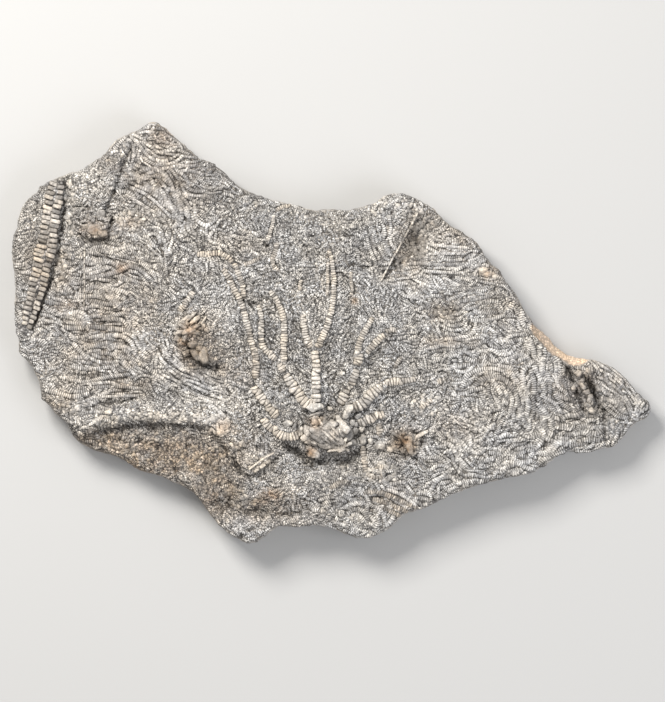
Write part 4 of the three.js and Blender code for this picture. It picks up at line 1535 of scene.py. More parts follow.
# Each row of lumps: place, half sizes, height, turn, rise, tone, edge and tilt.
CUP_LUMPS = lumps(
    # smooth grey plates that show between the others
    (-3.6, -29, 2.7, 1.5, 0.9, -28, 1.7, 0.48, 0.85), (1.4, -30.4, 2.6, 1.4, 0.9, -40, 1.8, 0.52, 0.85),
    (-0.6, -27, 2.2, 1.2, 0.8, 30, 1.7, 0.56, 0.85), (4.8, -29.6, 1.9, 1.3, 0.9, 75, 1.3, 0.52, 0.85),
    (-1, -32.6, 3, 1.2, 0.8, -8, 1.1, 0.52, 0.85), (-7.4, -30.2, 1.8, 1.2, 0.8, 10, 1, 0.56, 0.85),
    # smooth pale plate, thumb-shaped, and the pink-brown one that leads up to the right arm
    (3.3, -27.1, 2.3, 1.35, 1.2, 130, 2.7, 0.85, 0.8, -10), (2, -25, 1.2, 1, 0.9, 120, 1.9, 0.6, 0.8),
    (4.2, -23.7, 1.6, 1.1, 1.1, 70, 1.4, 0.59, 0.8), (5, -22, 1.4, 1.2, 1, 20, 1.2, 0.81, 0.7),
    # star-like plate with its rays
    (2.2, -33.2, 1.5, 1.3, 1.1, 30, 2.25, 1.07, 0.7), (3.6, -31.6, 1.7, 0.55, 0.8, 66, 2.35, 1.07, 0.7),
    (4.4, -32.4, 1.5, 0.5, 0.7, 25, 1.95, 0.99, 0.7), (0.6, -33.9, 1.9, 0.6, 0.8, 12, 1.85, 1.03, 0.7),
    (1.9, -31.6, 1.2, 0.5, 0.8, 100, 2.65, 0.94, 0.7), (3.8, -33.6, 1.3, 0.5, 0.7, -20, 1.75, 0.99, 0.7),
    # long slanting blades across the middle
    (-1, -29.9, 3.3, 0.42, 0.75, -40, 2.6, 0.77, 0.8), (0, -29.5, 2.8, 0.38, 0.7, -44, 2.7, 0.68, 0.8),
    (-0.2, -31, 2.6, 0.4, 0.7, -36, 2.3, 0.68, 0.8), (-2.2, -30.6, 2.6, 0.36, 0.6, -38, 2.4, 0.47, 0.8),
    (-3.2, -32.2, 2.6, 0.45, 0.7, -26, 1.7, 0.81, 0.8), (1, -28.6, 2, 0.4, 0.7, -52, 2.5, 0.64, 0.8),
    # small oval plates above them
    (-2, -27.8, 0.85, 0.6, 0.8, -10, 2.7, 0.64, 0.85), (-3.1, -26.2, 1.5, 0.5, 0.8, -62, 2.4, 0.85, 0.8),
    (-4.9, -27.6, 0.8, 0.7, 0.8, 0, 2.4, 0.85, 0.85), (-4.6, -25.6, 1.6, 1.2, 1, 60, 1.8, 0.51, 0.7),
    (-0.2, -25.8, 0.9, 0.7, 0.8, 20, 1.8, 0.68, 0.8), (-0.6, -22, 0.8, 0.6, 0.7, 0, 1, 0.72, 0.8),
    # left shoulder
    (-7, -28.4, 1.5, 1.4, 1.2, 70, 1.9, 0.64, 0.75), (-8.9, -28.6, 1.5, 0.6, 0.9, 80, 1.2, 0.85, 0.75),
    (-4.2, -30.3, 2, 1.4, 1, -20, 1.9, 0.26, 0.9), (-6.6, -31.4, 1.9, 0.9, 0.8, -14, 1.2, 0.47, 0.8),
    (-4.8, -31.9, 1.4, 0.5, 0.7, -10, 1.9, 0.81, 0.75), (-5.2, -34.9, 1.6, 1.5, 1.1, 80, 1, 0.51, 0.65, 10),
    (-6.6, -33.4, 1.3, 0.7, 0.8, 160, 1.1, 0.34, 0.8),
    # left arm's first plates, and the swirl below them
    (-5.8, -21.7, 1.3, 1.3, 1, 40, 1.2, 0.58, 0.65), (-4, -21.4, 1.5, 1.2, 1, 10, 1.3, 0.62, 0.65),
    (-4.6, -23.5, 2.2, 0.45, 0.6, 18, 1.2, 0.42, 0.8), (-4.9, -24.3, 1.9, 0.4, 0.6, 30, 1.2, 0.34, 0.8),
    # right shoulder
    (5.9, -26, 0.8, 0.9, 0.7, 0, 0.95, 0.46, 0.72), (7, -26.6, 0.7, 0.7, 0.6, 0, 0.65, 0.33, 0.72),
    (7.6, -24.2, 1.1, 0.9, 0.8, 30, 0.45, 0.37, 0.72), (8.6, -27.8, 1.1, 0.7, 0.7, 50, 0.45, 0.5, 0.72),
    (6.6, -28.6, 1.3, 0.8, 0.7, 60, 0.75, 0.12, 0.72), (6, -31.6, 1.2, 1, 0.7, 0, 0.75, 0.2, 0.72),
    (9, -31, 1.3, 1, 0.7, 90, 0.35, 0.24, 0.72), (-12.8, -26.4, 1.5, 0.9, 0.9, 20, 0.45, 0.59, 0.65),
    (-10.8, -27, 1, 0.6, 0.7, 60, 0.35, 0.33, 0.65), (7.2, -6.6, 1.5, 1.2, 0.9, 80, 0.45, 0.5, 0.67),
)

NODULE_LUMPS = lumps(
    # left nodule: the large oval lump, its neighbour, and the star-like ridges above
    (-37, -6.7, 2.62, 1.58, 1.49, 98, 1, 0.53, 0.85), (-39.4, -6.2, 2.5, 0.97, 1.15, 118, 0.9, 0.25, 0.82),
    (-40.2, -3.4, 1.5, 1.09, 1.03, 30, 1, 0.34, 0.82), (-38.2, -4.6, 1.25, 0.84, 0.92, 0, 1, 0.43, 0.82),
    (-41.4, 0.4, 1.88, 0.84, 1.15, 20, 1.4, 0.56, 0.7), (-42.9, 1.5, 2, 0.55, 0.92, -38, 1.2, 0.43, 0.72),
    (-43.2, 0.2, 2, 0.61, 0.92, 4, 1.2, 0.5, 0.72), (-42.3, -1.2, 1.88, 0.55, 0.92, 62, 1.2, 0.5, 0.72),
    (-39.9, 0.2, 2.12, 0.61, 0.92, -14, 1.2, 0.5, 0.72), (-39.8, 1.4, 2, 0.55, 0.92, 28, 1.1, 0.46, 0.72),
    (-44.4, -1.6, 1.5, 1.09, 0.92, 70, 0.7, 0.19, 0.82), (-43, -2.6, 1.5, 0.73, 0.8, 50, 0.8, 0.31, 0.82),
    (-41.2, 4.2, 2.38, 0.55, 0.8, 36, 0.9, 0.5, 0.82), (-39.6, 3.6, 2.12, 0.61, 0.8, 40, 0.8, 0.46, 0.82),
    (-42.6, 3.8, 2, 0.55, 0.8, 40, 0.8, 0.53, 0.82), (-37.2, 3.2, 1.75, 0.48, 0.8, 58, 0.7, 0.53, 0.82),
    # right nodule: brown blades round a pit
    (20.6, -31.2, 1.9, 0.55, 0.9, -52, 0.8, 0.4, 0.75), (22.4, -33.2, 2.3, 0.9, 1, -70, 0.8, 0.55, 0.75),
    (18.6, -29.6, 1.5, 0.5, 0.7, -30, 0.6, 0.4, 0.75), (22.6, -31, 1.1, 0.6, 0.8, -75, 0.8, 0.75, 0.75),
    (25.6, -29.6, 2.4, 0.6, 0.9, 28, 0.8, 0.8, 0.75), (23.6, -35, 1.2, 0.5, 0.6, 30, 0.4, 0.6, 0.75),
    # round stem plate: a raised rim round its middle
    (13.9, -32.6, 1.6, 1.5, 0.6, 0, 0.4, 0.28, 0.85), (13.9, -32.5, 0.5, 0.5, 0.4, 0, 0.95, 0.7, 0.85),
    (16.8, -33.8, 1, 0.7, 0.6, 0, 0.5, 0.6, 0.8), (11.2, -31.4, 0.9, 0.9, 0.6, 0, 0.5, 0.5, 0.8),
    # lumps below the upper left corner
    (-68.4, 29.8, 2.4, 1.5, 0.6, -8, 0.4, 0.25, 0.65), (-66.2, 28.6, 1.3, 1, 0.6, 10, 0.5, 0.4, 0.65),
    (-66.8, 34.2, 1.5, 1.2, 0.6, 60, 0.4, 0.3, 0.7), (-71, 30.6, 1.2, 0.7, 0.5, 0, 0.2, 0.3, 0.7),
    # knobs along the trough behind the right tip
    (71.2, -11.8, 1.2, 0.9, 0.9, 40, 0.7, 0.6, 0.85), (72.3, -13.7, 1.1, 0.9, 0.9, 10, 0.7, 0.5, 0.85),
    (72.6, -15.6, 1.2, 0.8, 0.8, -40, 0.6, 0.55, 0.85), (73.6, -17.2, 1.2, 0.9, 0.9, 20, 0.6, 0.6, 0.85),
    (74.6, -19, 1.3, 0.9, 0.9, 70, 0.7, 0.6, 0.85), (73.9, -21, 1, 0.8, 0.8, 0, 0.5, 0.4, 0.85),
    (75.2, -22.6, 1.2, 0.9, 0.8, -30, 0.6, 0.7, 0.85), (77, -16.2, 1.4, 0.7, 0.8, -60, 0.8, 0.5, 0.85),
    (69.8, -16, 1, 0.8, 0.8, 50, 0.5, 0.5, 0.85),
    # pale scraps
    (-64.6, -23, 1, 0.8, 0.6, 20, 0.3, 0.9, 0.8), (-73.4, -21.8, 1.2, 1, 0.7, 0, 0.4, 0.6, 0.8),
    (-55.6, -9.2, 0.5, 0.5, 0.5, 0, 0.5, 1, 0.9), (-55.4, -5.8, 0.6, 0.4, 0.5, 30, 0.5, 1, 0.9),
    (3, -11.8, 0.8, 0.6, 0.6, 30, 0.4, 1, 0.8), (-2.2, -12.8, 0.6, 0.5, 0.5, 0, 0.4, 1, 0.8),
)


@dataclass(frozen=True)
class Rubble:
    """A spill of small broken bits: an ellipse round a place, their number, sizes and height of lie."""

    x: float
    y: float
    reach_x: float
    reach_y: float
    count: int
    size: tuple[float, float] = (0.3, 0.75)
    rise: float = 0.2
    dome: float = 0.0
    tone: float = 0.55

    def spill(self, rng: np.random.Generator) -> list[Lump]:
        """Scatters the bits evenly over the ellipse.

        Args:
            rng: Source of the random draws.

        Returns:
            The bits.
        """
        radius = np.sqrt(rng.random(self.count))
        bearing = rng.uniform(0, 2 * math.pi, self.count)
        size = rng.uniform(*self.size, self.count)
        long = rng.uniform(1, 1.9, self.count)
        flat = rng.random(self.count)
        turn = rng.uniform(0, 180, self.count)
        tone = 0.5 * self.tone + rng.normal(0, 0.18, self.count)
        return [
            Lump(
                self.x + self.reach_x * r * math.cos(b), self.y + self.reach_y * r * math.sin(b), w * l, w,
                w * (0.6 + 0.4 * f), t, self.rise + self.dome * (1 - r * r), p,
            )
            for r, b, w, l, f, t, p in zip(radius, bearing, size, long, flat, turn, tone)
        ]


# Each row: place, reaches, number, least and greatest size, rise, dome and tone.
SPILL_ROWS = [
    (-54, -33, 15, 5, 170, (0.22, 0.5), 0.05, 0, 0.6), (-37, -40, 8, 8, 130, (0.22, 0.5), 0.05, 0, 0.6),
    (-1.5, -29, 7.2, 5.2, 150, (0.25, 0.6), 0.3, 2, 0.5), (-1, -37, 8.5, 2.6, 90, (0.2, 0.5), 0.1, 0, 0.3),
    (-40.5, -0.5, 4.6, 6.2, 110, (0.25, 0.6), 0.3, 0.5), (-36, -9, 4, 2.4, 34, (0.3, 0.6), 0.1),
    (21.5, -31.8, 4.4, 3, 70, (0.25, 0.55), 0.2, 0.3, 0.45),
    (14.2, -40.5, 5, 3, 50, (0.3, 0.65), 0.3, 0, 0.75), (25.4, 27, 2.2, 5.6, 90, (0.35, 0.7), 0.1, 0, 0.42),
    (20.4, 20.6, 1.8, 3.4, 46, (0.3, 0.6), 0.1, 0, 0.45), (29, 32.6, 2.4, 2.2, 40, (0.3, 0.6), 0.1, 0, 0.4),
    (72.4, -14.5, 3.4, 4.6, 80, (0.25, 0.6), 0, 0, 0.3),
    (76, -21.5, 3.4, 3.4, 50, (0.25, 0.55), 0, 0, 0.35),
    (-68.4, 31.6, 4, 4.2, 40, (0.25, 0.5), 0.1, 0, 0.3),
    (-74, -21.6, 5, 2.4, 70, (0.25, 0.55), 0.1, 0, 0.3), (-75.6, 36, 1.6, 9, 70, (0.3, 0.7), 0.2, 0, 0.6),
    (-78.6, 22, 1.8, 7, 50, (0.3, 0.7), 0.1, 0, 0.5), (-33, -27, 3.4, 3.2, 60, (0.3, 0.75), 0.2, 0, 0.9),
    (-47, -24.4, 13, 1.5, 190, (0.22, 0.5), 0.1, 0, 0.9),
    (-64, -25.6, 5, 1.4, 80, (0.25, 0.55), 0.1, 0, 0.85),
    (-27.5, -33.5, 2.2, 3.2, 30, (0.3, 0.6), 0.1, 0, 0.7),
    (-21, -38, 3.6, 2.4, 44, (0.25, 0.5), 0.1, 0, 0.75),
    (-58, 31.4, 4.5, 3.6, 60, (0.3, 0.6), 0.05, 0, 0.7), (-12, 36, 18, 3, 70, (0.25, 0.5), 0.1, 0, 0.7),
    (19, 36, 8, 3.4, 60, (0.3, 0.6), 0.1, 0, 0.8), (9.6, -19.5, 7, 5.5, 60, (0.25, 0.55), 0.1, 0, 0.6),
    (-13, -19, 5.6, 5, 50, (0.25, 0.5), 0.1, 0, 0.55), (33.5, 6, 3.6, 2.4, 40, (0.3, 0.6), 0, 0, 0.45),
    (27, -20.6, 4, 4, 34, (0.3, 0.6), 0.1, 0, 0.7), (81, -28, 3.4, 3, 34, (0.3, 0.6), 0.1, 0, 0.6),
    (-1.4, -29.4, 5.4, 3.8, 60, (0.45, 0.85), 0.9, 1.4, 0.7),
    (46, 17.6, 3, 1.6, 26, (0.4, 0.9), 0.1, 0, 0.8), (3, -53, 6, 4, 40, (0.3, 0.55), 0.1, 0, 0.7),
    (-26, -47.4, 6, 3, 60, (0.3, 0.6), 0.05, 0, 0.6), (-63, 52, 5, 4, 50, (0.25, 0.5), 0.05, 0, 0.75),
]


@dataclass
class LumpField:
    """A piece made of plates and lumps that are half sunk in the plate."""

    name: str
    relief: Relief
    lumps: list[Lump]
    seed: int
    rings: int = 13
    around: int = 22

    def build(self, material: bpy.types.Material) -> bpy.types.Object:
        """Makes the lumps.

        Each is an ellipsoid whose cosines are raised to the power of its edge, which squares it up, with
        its radius changed by a few slow waves and flat facets. The poles are single points.

        Args:
            material: Their finish.

        Returns:
            The new object.
        """
        rng = np.random.default_rng(self.seed)
        values = {key: np.array([getattr(lump, key) for lump in self.lumps])[:, None, None] for key in
                  ("x", "y", "length", "width", "height", "turn", "rise", "tilt", "tone", "edge")}
        count = len(self.lumps)
        polar = np.linspace(-math.pi / 2, math.pi / 2, self.rings + 2)[1:-1]
        latitude = np.concatenate([polar, [-math.pi / 2, math.pi / 2]])[None, :, None]
        longitude = np.linspace(0, 2 * math.pi, self.around, endpoint=False)[None, None, :]

        def power(wave: Array) -> Array:
            """Raises a wave to the lump's edge, keeping its sign."""
            return np.sign(wave) * np.abs(wave) ** values["edge"]

        phase = rng.uniform(0, 2 * math.pi, (5, count, 1, 1))
        # The waves run round and up the lump, and vanish at the poles so that these stay one point.
        poles = np.cos(latitude)
        wave = 0.11 * np.sin(2 * longitude + phase[0])
        wave = wave + 0.09 * np.sin(3 * longitude + 2 * latitude + phase[1])
        wave = wave + 0.06 * np.sin(5 * longitude - 3 * latitude + phase[2])
        wave = wave + 0.06 * np.sin(8 * longitude + 6 * latitude + phase[4]) * np.sin(7 * latitude + phase[1])
        radius = 1 + wave * poles + 0.06 * np.sin(3 * latitude + phase[3])
        east = power(np.cos(latitude)) * power(np.cos(longitude)) * values["length"] * radius
        north = power(np.cos(latitude)) * power(np.sin(longitude)) * values["width"] * radius
        up = power(np.sin(latitude)) * values["height"] * (radius + 0 * longitude)
        turn, tilt = np.radians(values["turn"]), np.radians(values["tilt"])
        up = up + east * np.tan(tilt)
        x = values["x"] + east * np.cos(turn) - north * np.sin(turn)
        y = values["y"] + east * np.sin(turn) + north * np.cos(turn)
        ground = self.relief.height(values["x"], values["y"])
        z = ground + 0.55 * values["rise"] + up
        grid = np.stack([x, y, z], -1)
        rings, around = self.rings, self.around
        body = grid[:, :rings].reshape(count, rings * around, 3)
        poles_points = grid[:, rings:, 0]
        vertices = np.concatenate([body, poles_points], axis=1)
        a, b = band(rings, around)
        step = np.arange(around)
        south, north_pole = rings * around, rings * around + 1
        last = (rings - 1) * around
        template = np.concatenate([
            np.stack([a, b, b + around], 1),
            np.stack([a, b + around, a + around], 1),
            np.stack([step * 0 + south, (step + 1) % around, step], 1),
            np.stack([step * 0 + north_pole, last + step, last + (step + 1) % around], 1),
        ])
        per_lump = rings * around + 2
        triangles = (template[None] + np.arange(count)[:, None, None] * per_lump).reshape(-1, 3)
        # Each lump darkens towards its underside: painted shade under it.
        share = np.concatenate([np.repeat(np.sin(polar), around), [-1, 1]])[None]
        recess = np.broadcast_to(1 - smooth(share, -0.1, 0.7), (count, per_lump)).ravel()
        tone = np.broadcast_to(values["tone"][:, :, 0], (count, per_lump)).ravel()
        flat = vertices.reshape(-1, 3)
        x, y = flat[:, 0], flat[:, 1]
        tone = tone + 0.25 * Noise(65)(x, y, 0.7) + 0.15 * Noise(66)(x, y, 2.0)
        masks = place_masks(self.relief, x, y, recess * 0.95, tone)
        return make_piece(self.name, flat, triangles, masks, material)


# ---------------------------------------------------------------------------------------------------------
# The mat
# ---------------------------------------------------------------------------------------------------------


@dataclass(frozen=True)
class Flow:
    """How the mat lies round a place: direction in degrees, order from 0 (tangled) to 1, strand width.

    Its joints show clearly when ticks is near 1, and hardly when it is near 0.
    """

    x: float
    y: float
    direction: float
    order: float
    width: float
    ticks: float = 0.85


# Each row: place, direction, order, strand width, and how deep the joints are where that isn't 0.85.
FLOW_ROWS = [
    # left edge and corner
    (-88, 32, 80, 0.2, 1), (-88.5, 22, 10, 0.6, 1.6), (-89, 13, 5, 0.6, 2.2), (-72, 42, 80, 0.2, 1),
    (-65, 50, 60, 0.2, 1.1), (-72, 33, 0, 0.3, 1.4), (-76, 22, -20, 0.4, 1.8), (-77, 10, -5, 0.6, 2.2),
    # upper left
    (-56, 52, -64, 0.8, 2.3, 0.5), (-50, 57, -50, 0.4, 1.5, 0.3), (-46, 52, -4, 0.9, 2.1, 0.5),
    (-54, 46, -10, 0.8, 2.3, 0.5), (-46, 43, -50, 0.9, 2.2, 0.5), (-52, 39, -32, 0.9, 2.5, 0.5),
    (-36, 46, -15, 0.5, 1.4), (-42, 34, -55, 0.7, 2.2, 0.5), (-58, 32, 20, 0.1, 1.4),
    (-50, 27, -58, 0.5, 1.7, 0.6), (-34, 36, -30, 0.35, 1.5), (-43, 25, -45, 0.4, 1.7),
    (-65, 23, -6, 0.8, 2.4), (-65, 16.5, 8, 0.9, 2.4), (-56, 18, -20, 0.7, 2.2), (-65, 9, -4, 0.8, 2.4),
    (-52, 10, -30, 0.3, 1.6), (-44, 13, -50, 0.4, 1.6), (-34, 10, -40, 0.2, 1.4),
    # left middle
    (-84, 0, 0, 0.5, 2), (-80, -6, 40, 0.2, 1.3), (-72, 3, -5, 0.8, 2.4), (-64, 0, -5, 0.9, 2.4),
    (-57, -4, -45, 0.7, 2.4), (-70, -6, 20, 0.6, 2.4), (-68, -11, -4, 0.9, 2), (-60, -10, -10, 0.7, 2),
    (-78, -13, 20, 0.3, 1.6), (-76, -18, -10, 0.7, 2.4), (-62, -16, -3, 0.9, 1.7), (-67, -18, 15, 0.8, 2.2),
    (-52, -8, -30, 0.4, 2), (-44, -13, -38, 0.95, 1.5, 0.3), (-34, -18, -28, 0.8, 1.5, 0.3),
    (-48, -18, -12, 0.4, 1.4), (-52, 2, 10, 0.2, 1.8), (-30, -4, 30, 0.15, 1.5), (-27, -14, -25, 0.4, 1.5),
    (-78, -23, 0, 0.1, 1.6),
    # lower left
    (-60, -23, -4, 0.2, 1), (-40, -24, -10, 0.2, 1), (-50, -33, 0, 0.1, 1), (-38, -40, -62, 0.5, 1),
    (-30, -38, -50, 0.2, 1.1), (-26, -24, 0, 0.1, 1.5), (-30, -54, -30, 0.3, 1.2), (-20, -46, 20, 0.2, 1.3),
    (-20, -57, 5, 0.3, 1.2), (-12, -42, 10, 0.3, 1.4),
    # centre and top
    (-24, 34, -20, 0.2, 1.4), (-10, 32, 0, 0.1, 1.3), (0, 31, 0, 0.1, 1.3), (-10, 18, -40, 0.1, 1.3),
    (-18, -2, 90, 0.1, 1.2), (0, 2, 60, 0.1, 1.3), (8, 30, -70, 0.4, 1.5), (13, 26, -62, 0.8, 1.8),
    (12, 36, 20, 0.2, 1.5), (20, 36, 20, 0.2, 1.6), (8, 14, -30, 0.2, 1.4), (16, 14, -50, 0.4, 1.5),
    (-5, -40, 10, 0.3, 1.4), (0, -50, 20, 0.4, 2.2), (6, -52, -50, 0.5, 2.6), (13, -52, -75, 0.6, 2.6),
    (10, -57, 15, 0.5, 2), (18, -48, -30, 0.9, 2.2, 0.6), (22, -41, -20, 0.4, 1.7), (24, -20, 30, 0.2, 1.5),
    # upper right
    (28, 34, 60, 0.2, 1.5), (34, 27, -5, 0.6, 1.7, 0.6), (32, 21, -2, 0.95, 1.8, 0.6), (41, 21, 8, 0.7, 2),
    (24, 13, -36, 0.9, 1.8, 0.6), (30, 9, -40, 0.5, 1.8), (38, 14, 5, 0.7, 1.6), (47, 14, 20, 0.5, 1.8),
    (45, 6, 6, 0.6, 1.8), (52, 8, 35, 0.3, 1.7), (38, 5, 15, 0.4, 1.7), (24, 4, -20, 0.3, 1.6),
    # right middle
    (35, -2.5, -3, 0.9, 2.2), (27, -8, 10, 0.2, 1.5), (37, -7, -20, 0.6, 2.2), (44, -9, 15, 0.7, 2.4),
    (40, -13, 40, 0.7, 2.4), (48, -12, -8, 0.9, 2.8), (53, -17, -62, 0.9, 2.8), (46, -18, -40, 0.5, 2),
    (58, -14, 88, 0.9, 2.8), (58, -4, -70, 0.6, 2.8), (52, -4, 10, 0.6, 2.6), (56, -8, 20, 0.7, 2.8),
    (63, -14, 80, 0.7, 2.8), (62, -23, -50, 0.9, 3), (66, -19, -30, 0.6, 2.8), (57, -23, 70, 0.7, 2.4),
    (47, -26, 0, 0.5, 1.8), (40, -28, -22, 0.9, 1.6, 0.3), (52, -32, 10, 0.6, 2.2), (56, -37, 5, 0.6, 2.8),
    (44, -35, -30, 0.6, 2.2), (36, -37, -42, 0.8, 1.8, 0.6), (36, -43, 5, 0.8, 2.6),
    (48, -40, 10, 0.6, 2.6), (28, -46, -15, 0.5, 2.2), (30, -28, 0, 0.3, 1.6), (32, -14, -5, 0.3, 1.6),
    (36, -19, 30, 0.4, 1.9),
    # right tip
    (68, -27, 0, 0.9, 3), (74, -28, 5, 0.8, 2.8), (67, -32, 5, 0.9, 2.8), (76, -32, 5, 0.5, 2.4),
    (70, -18, -60, 0.3, 2), (82, -14, -42, 0.95, 1.6, 0.3), (86, -19, -52, 0.95, 1.5, 0.3),
    (82, -21, -35, 0.8, 2, 0.6), (82, -27, 20, 0.5, 2.2), (89, -22, 10, 0.4, 1.5, 0.3),
    (74, -23, -50, 0.3, 2),
]
FLOWS = [Flow(*row) for row in FLOW_ROWS]

# Long strands that the eye follows: course and width.
GUIDES: list[tuple[Path, float]] = [
    ([(-58.5, 42), (-54, 40), (-50, 36.8), (-46.6, 33.4)], 1.7),
    ([(-60, 44.2), (-55.4, 44.6), (-51, 45.2), (-47.6, 43.4), (-44.4, 39), (-41.4, 33.6)], 1.8),
    ([(-59.6, 40), (-55.4, 37.2), (-51, 34.4), (-48, 31.4)], 2),
    ([(-51, 48.8), (-47, 47.4), (-44.2, 44), (-42.4, 40)], 1.6),
    ([(-58, 49), (-54.4, 47.6), (-50, 47.6)], 1.9), ([(-56.6, 55.6), (-53.6, 51.4), (-50.6, 49.4)], 1.7),
    ([(-50.4, 54.4), (-45.4, 53), (-40.4, 51.2)], 1.5), ([(-49, 51.9), (-44, 51.1), (-38.6, 50.4)], 1.3),
    ([(-47, 42), (-44.6, 38.4), (-42.6, 34.4), (-39.6, 31)], 1.2),
    ([(-70.6, 23.9), (-66, 23.6), (-61.6, 22.4), (-58, 21.6)], 2.5),
    ([(-71, 15.9), (-66.6, 16.4), (-62, 17.6), (-58.4, 19.2), (-55, 17.8), (-52.6, 15)], 2.5),
    ([(-70, 9.2), (-65, 8.2), (-60, 8.4)], 2.5), ([(-69.6, 5), (-64.6, 4.6), (-59.6, 5.8)], 2.1),
    ([(-83.6, 9), (-80, 8.4), (-76, 8.2)], 2.3),
    ([(-78, 1.6), (-74, 1.2), (-69, 1.6), (-63, 1), (-58, 0.4)], 2.6),
    ([(-71, -1.4), (-66, -0.9), (-61, -1), (-58, -3), (-56.6, -6.6)], 2.4),
    ([(-75, -3), (-72.6, -5.6), (-70.4, -7.8)], 2.6),
    ([(-69.4, -6.6), (-65.6, -6), (-61, -7), (-57, -8)], 2.3),
    ([(-76, -9.8), (-71, -10.6), (-66, -10.2), (-61.4, -9.4)], 2),
    ([(-76.4, -13.6), (-71, -14.2), (-65.4, -13), (-58, -12)], 1.8),
    ([(-75, -16.2), (-69, -15.9), (-62, -15.6), (-55, -16.2)], 1.8),
    ([(-83, -16.6), (-79, -17.6), (-74.6, -18.6), (-70, -17.6)], 2.6),
    ([(-67, -18.6), (-61, -18.4), (-55.4, -18.2)], 1.4),
    ([(-50.8, -4.4), (-48.6, -8.6), (-44, -11.6), (-38, -14)], 1.5),
    ([(-49.4, -8), (-45, -12.4), (-40, -15.6), (-34, -18)], 1.4),
    ([(-48, -11.2), (-43.6, -15.2), (-38, -18.2), (-30.4, -20.6)], 1.2),
    ([(-44.6, -8.8), (-40, -12.2), (-36.4, -13.4)], 1.7), ([(12, 30), (13, 26.4), (14.6, 22.6)], 1.7),
    ([(10, 28), (11, 24), (12.8, 20)], 1.8), ([(16.6, 33), (17, 30), (16.4, 27)], 1.8),
    ([(26, 17.8), (32, 17.4), (38, 17), (42, 16.4)], 1.6), ([(24.6, 20), (31, 19.6), (38, 19.8)], 1.9),
    ([(25, 22.6), (32, 22.8), (38, 22.8), (42, 22.2)], 1.7), ([(28, 25.4), (34, 24.8), (40, 24.4)], 1.6),
    ([(22, 15), (25, 13.2), (28, 11), (30.6, 8.6)], 1.7), ([(24, 16), (28, 14.4), (31.4, 11.6)], 1.5),
    ([(32, -2), (35, -1.7), (38, -2.2), (40.4, -3)], 2.1),
    ([(33.4, -6.4), (36, -5.4), (39, -5.8), (41.6, -7.6)], 2),
    ([(37.4, -16), (39.4, -12.4), (43, -10.6), (47, -10.4)], 2.5),
    ([(41, -15.8), (44, -13.4), (48, -13), (51.4, -15), (53.2, -18.6), (54, -22)], 3),
    ([(48, -9.6), (52, -10.6), (55, -13.6)], 2.4), ([(57.4, -10.6), (58.4, -14.6), (58.2, -19)], 2.9),
    ([(62, -11), (63, -15), (62.6, -18.4)], 2.6), ([(59.6, -20.4), (62, -23.4), (64.6, -27)], 3.2),
    ([(64.4, -17.6), (66.6, -20.6), (69.6, -22.6)], 2.6), ([(57, -1.6), (58, -4.4), (58.6, -7.6)], 2.7),
    ([(50, -3), (53, -2.2), (56, -2.4)], 2.4), ([(52, -7.6), (55, -6.4), (57.6, -8.4)], 2.6),
    ([(65, -27.4), (68, -27.2), (70.4, -27.6)], 3.2), ([(71, -27.4), (74, -26.8), (77, -27.6)], 2.8),
    ([(65.2, -32), (68, -31.8), (70.6, -31.6)], 3), ([(71.4, -31.4), (74.4, -31), (77.6, -31.2)], 2.8),
    ([(34.6, -25.6), (40, -27), (44, -29.6), (46.6, -32.6)], 1.1),
    ([(35, -28), (39.6, -29.6), (42.6, -32)], 1.1),
    ([(77.4, -10.8), (82, -13.4), (86, -17.4), (88.6, -21.4)], 1.4),
    ([(76.6, -12.6), (81, -15), (85, -19), (87, -23)], 1.7), ([(79.4, -17.4), (83, -20), (85.6, -24)], 1.9),
    ([(80.4, -10), (84.6, -13.6), (88, -18)], 1.2), ([(33, -35), (36.6, -37.6), (40, -41)], 1.5),
    ([(35, -43.6), (38, -43.2), (42, -43)], 2.6), ([(50, -37.4), (54, -37.8), (58, -37)], 2.9),
    ([(42, -37.6), (46, -36.6), (50, -34)], 2.2),
    ([(10, -47), (13, -46.5), (16.4, -47.4), (19.6, -49.4), (22.4, -51)], 2.1),
    ([(15.6, -45.2), (19.4, -46.6), (23, -49), (25, -50.6)], 1.9),
    ([(4, -53), (6.4, -51), (9, -51.6), (10.6, -54.4)], 2.4), ([(12, -50), (14.4, -52), (15.6, -55)], 2.5),
    ([(-4, -48.6), (0, -47.6), (4, -48.8)], 2), ([(-9, -41.6), (-5, -40.4), (-1, -41)], 1.6),
    ([(36, 9), (41, 9.4), (46, 10.8)], 1.7), ([(40, 3.4), (45, 3.6), (50, 5)], 1.9),
]


@dataclass(frozen=True)
class Sowing:
    """Rounds of strands of one length: their joints, where they may lie, and how often they are sown."""

    joints: int
    least_order: float
    crowd: float
    rounds: int


SOWINGS = [
    Sowing(13, 0.62, 0.42, 8), Sowing(8, 0.45, 0.50, 12), Sowing(5, 0.20, 0.60, 20),
    Sowing(3, 0.00, 0.72, 26), Sowing(2, 0.00, 0.95, 18),
]


@dataclass
class Strands:
    """Strands of equal length: ring places, and each strand's width, joint spacing and joint depth."""

    course: Array
    width: Array
    pitch: Array
    ticks: Array

    def only(self, chosen: Array) -> "Strands":
        """Gives the chosen strands."""
        return Strands(self.course[chosen], self.width[chosen], self.pitch[chosen], self.ticks[chosen])


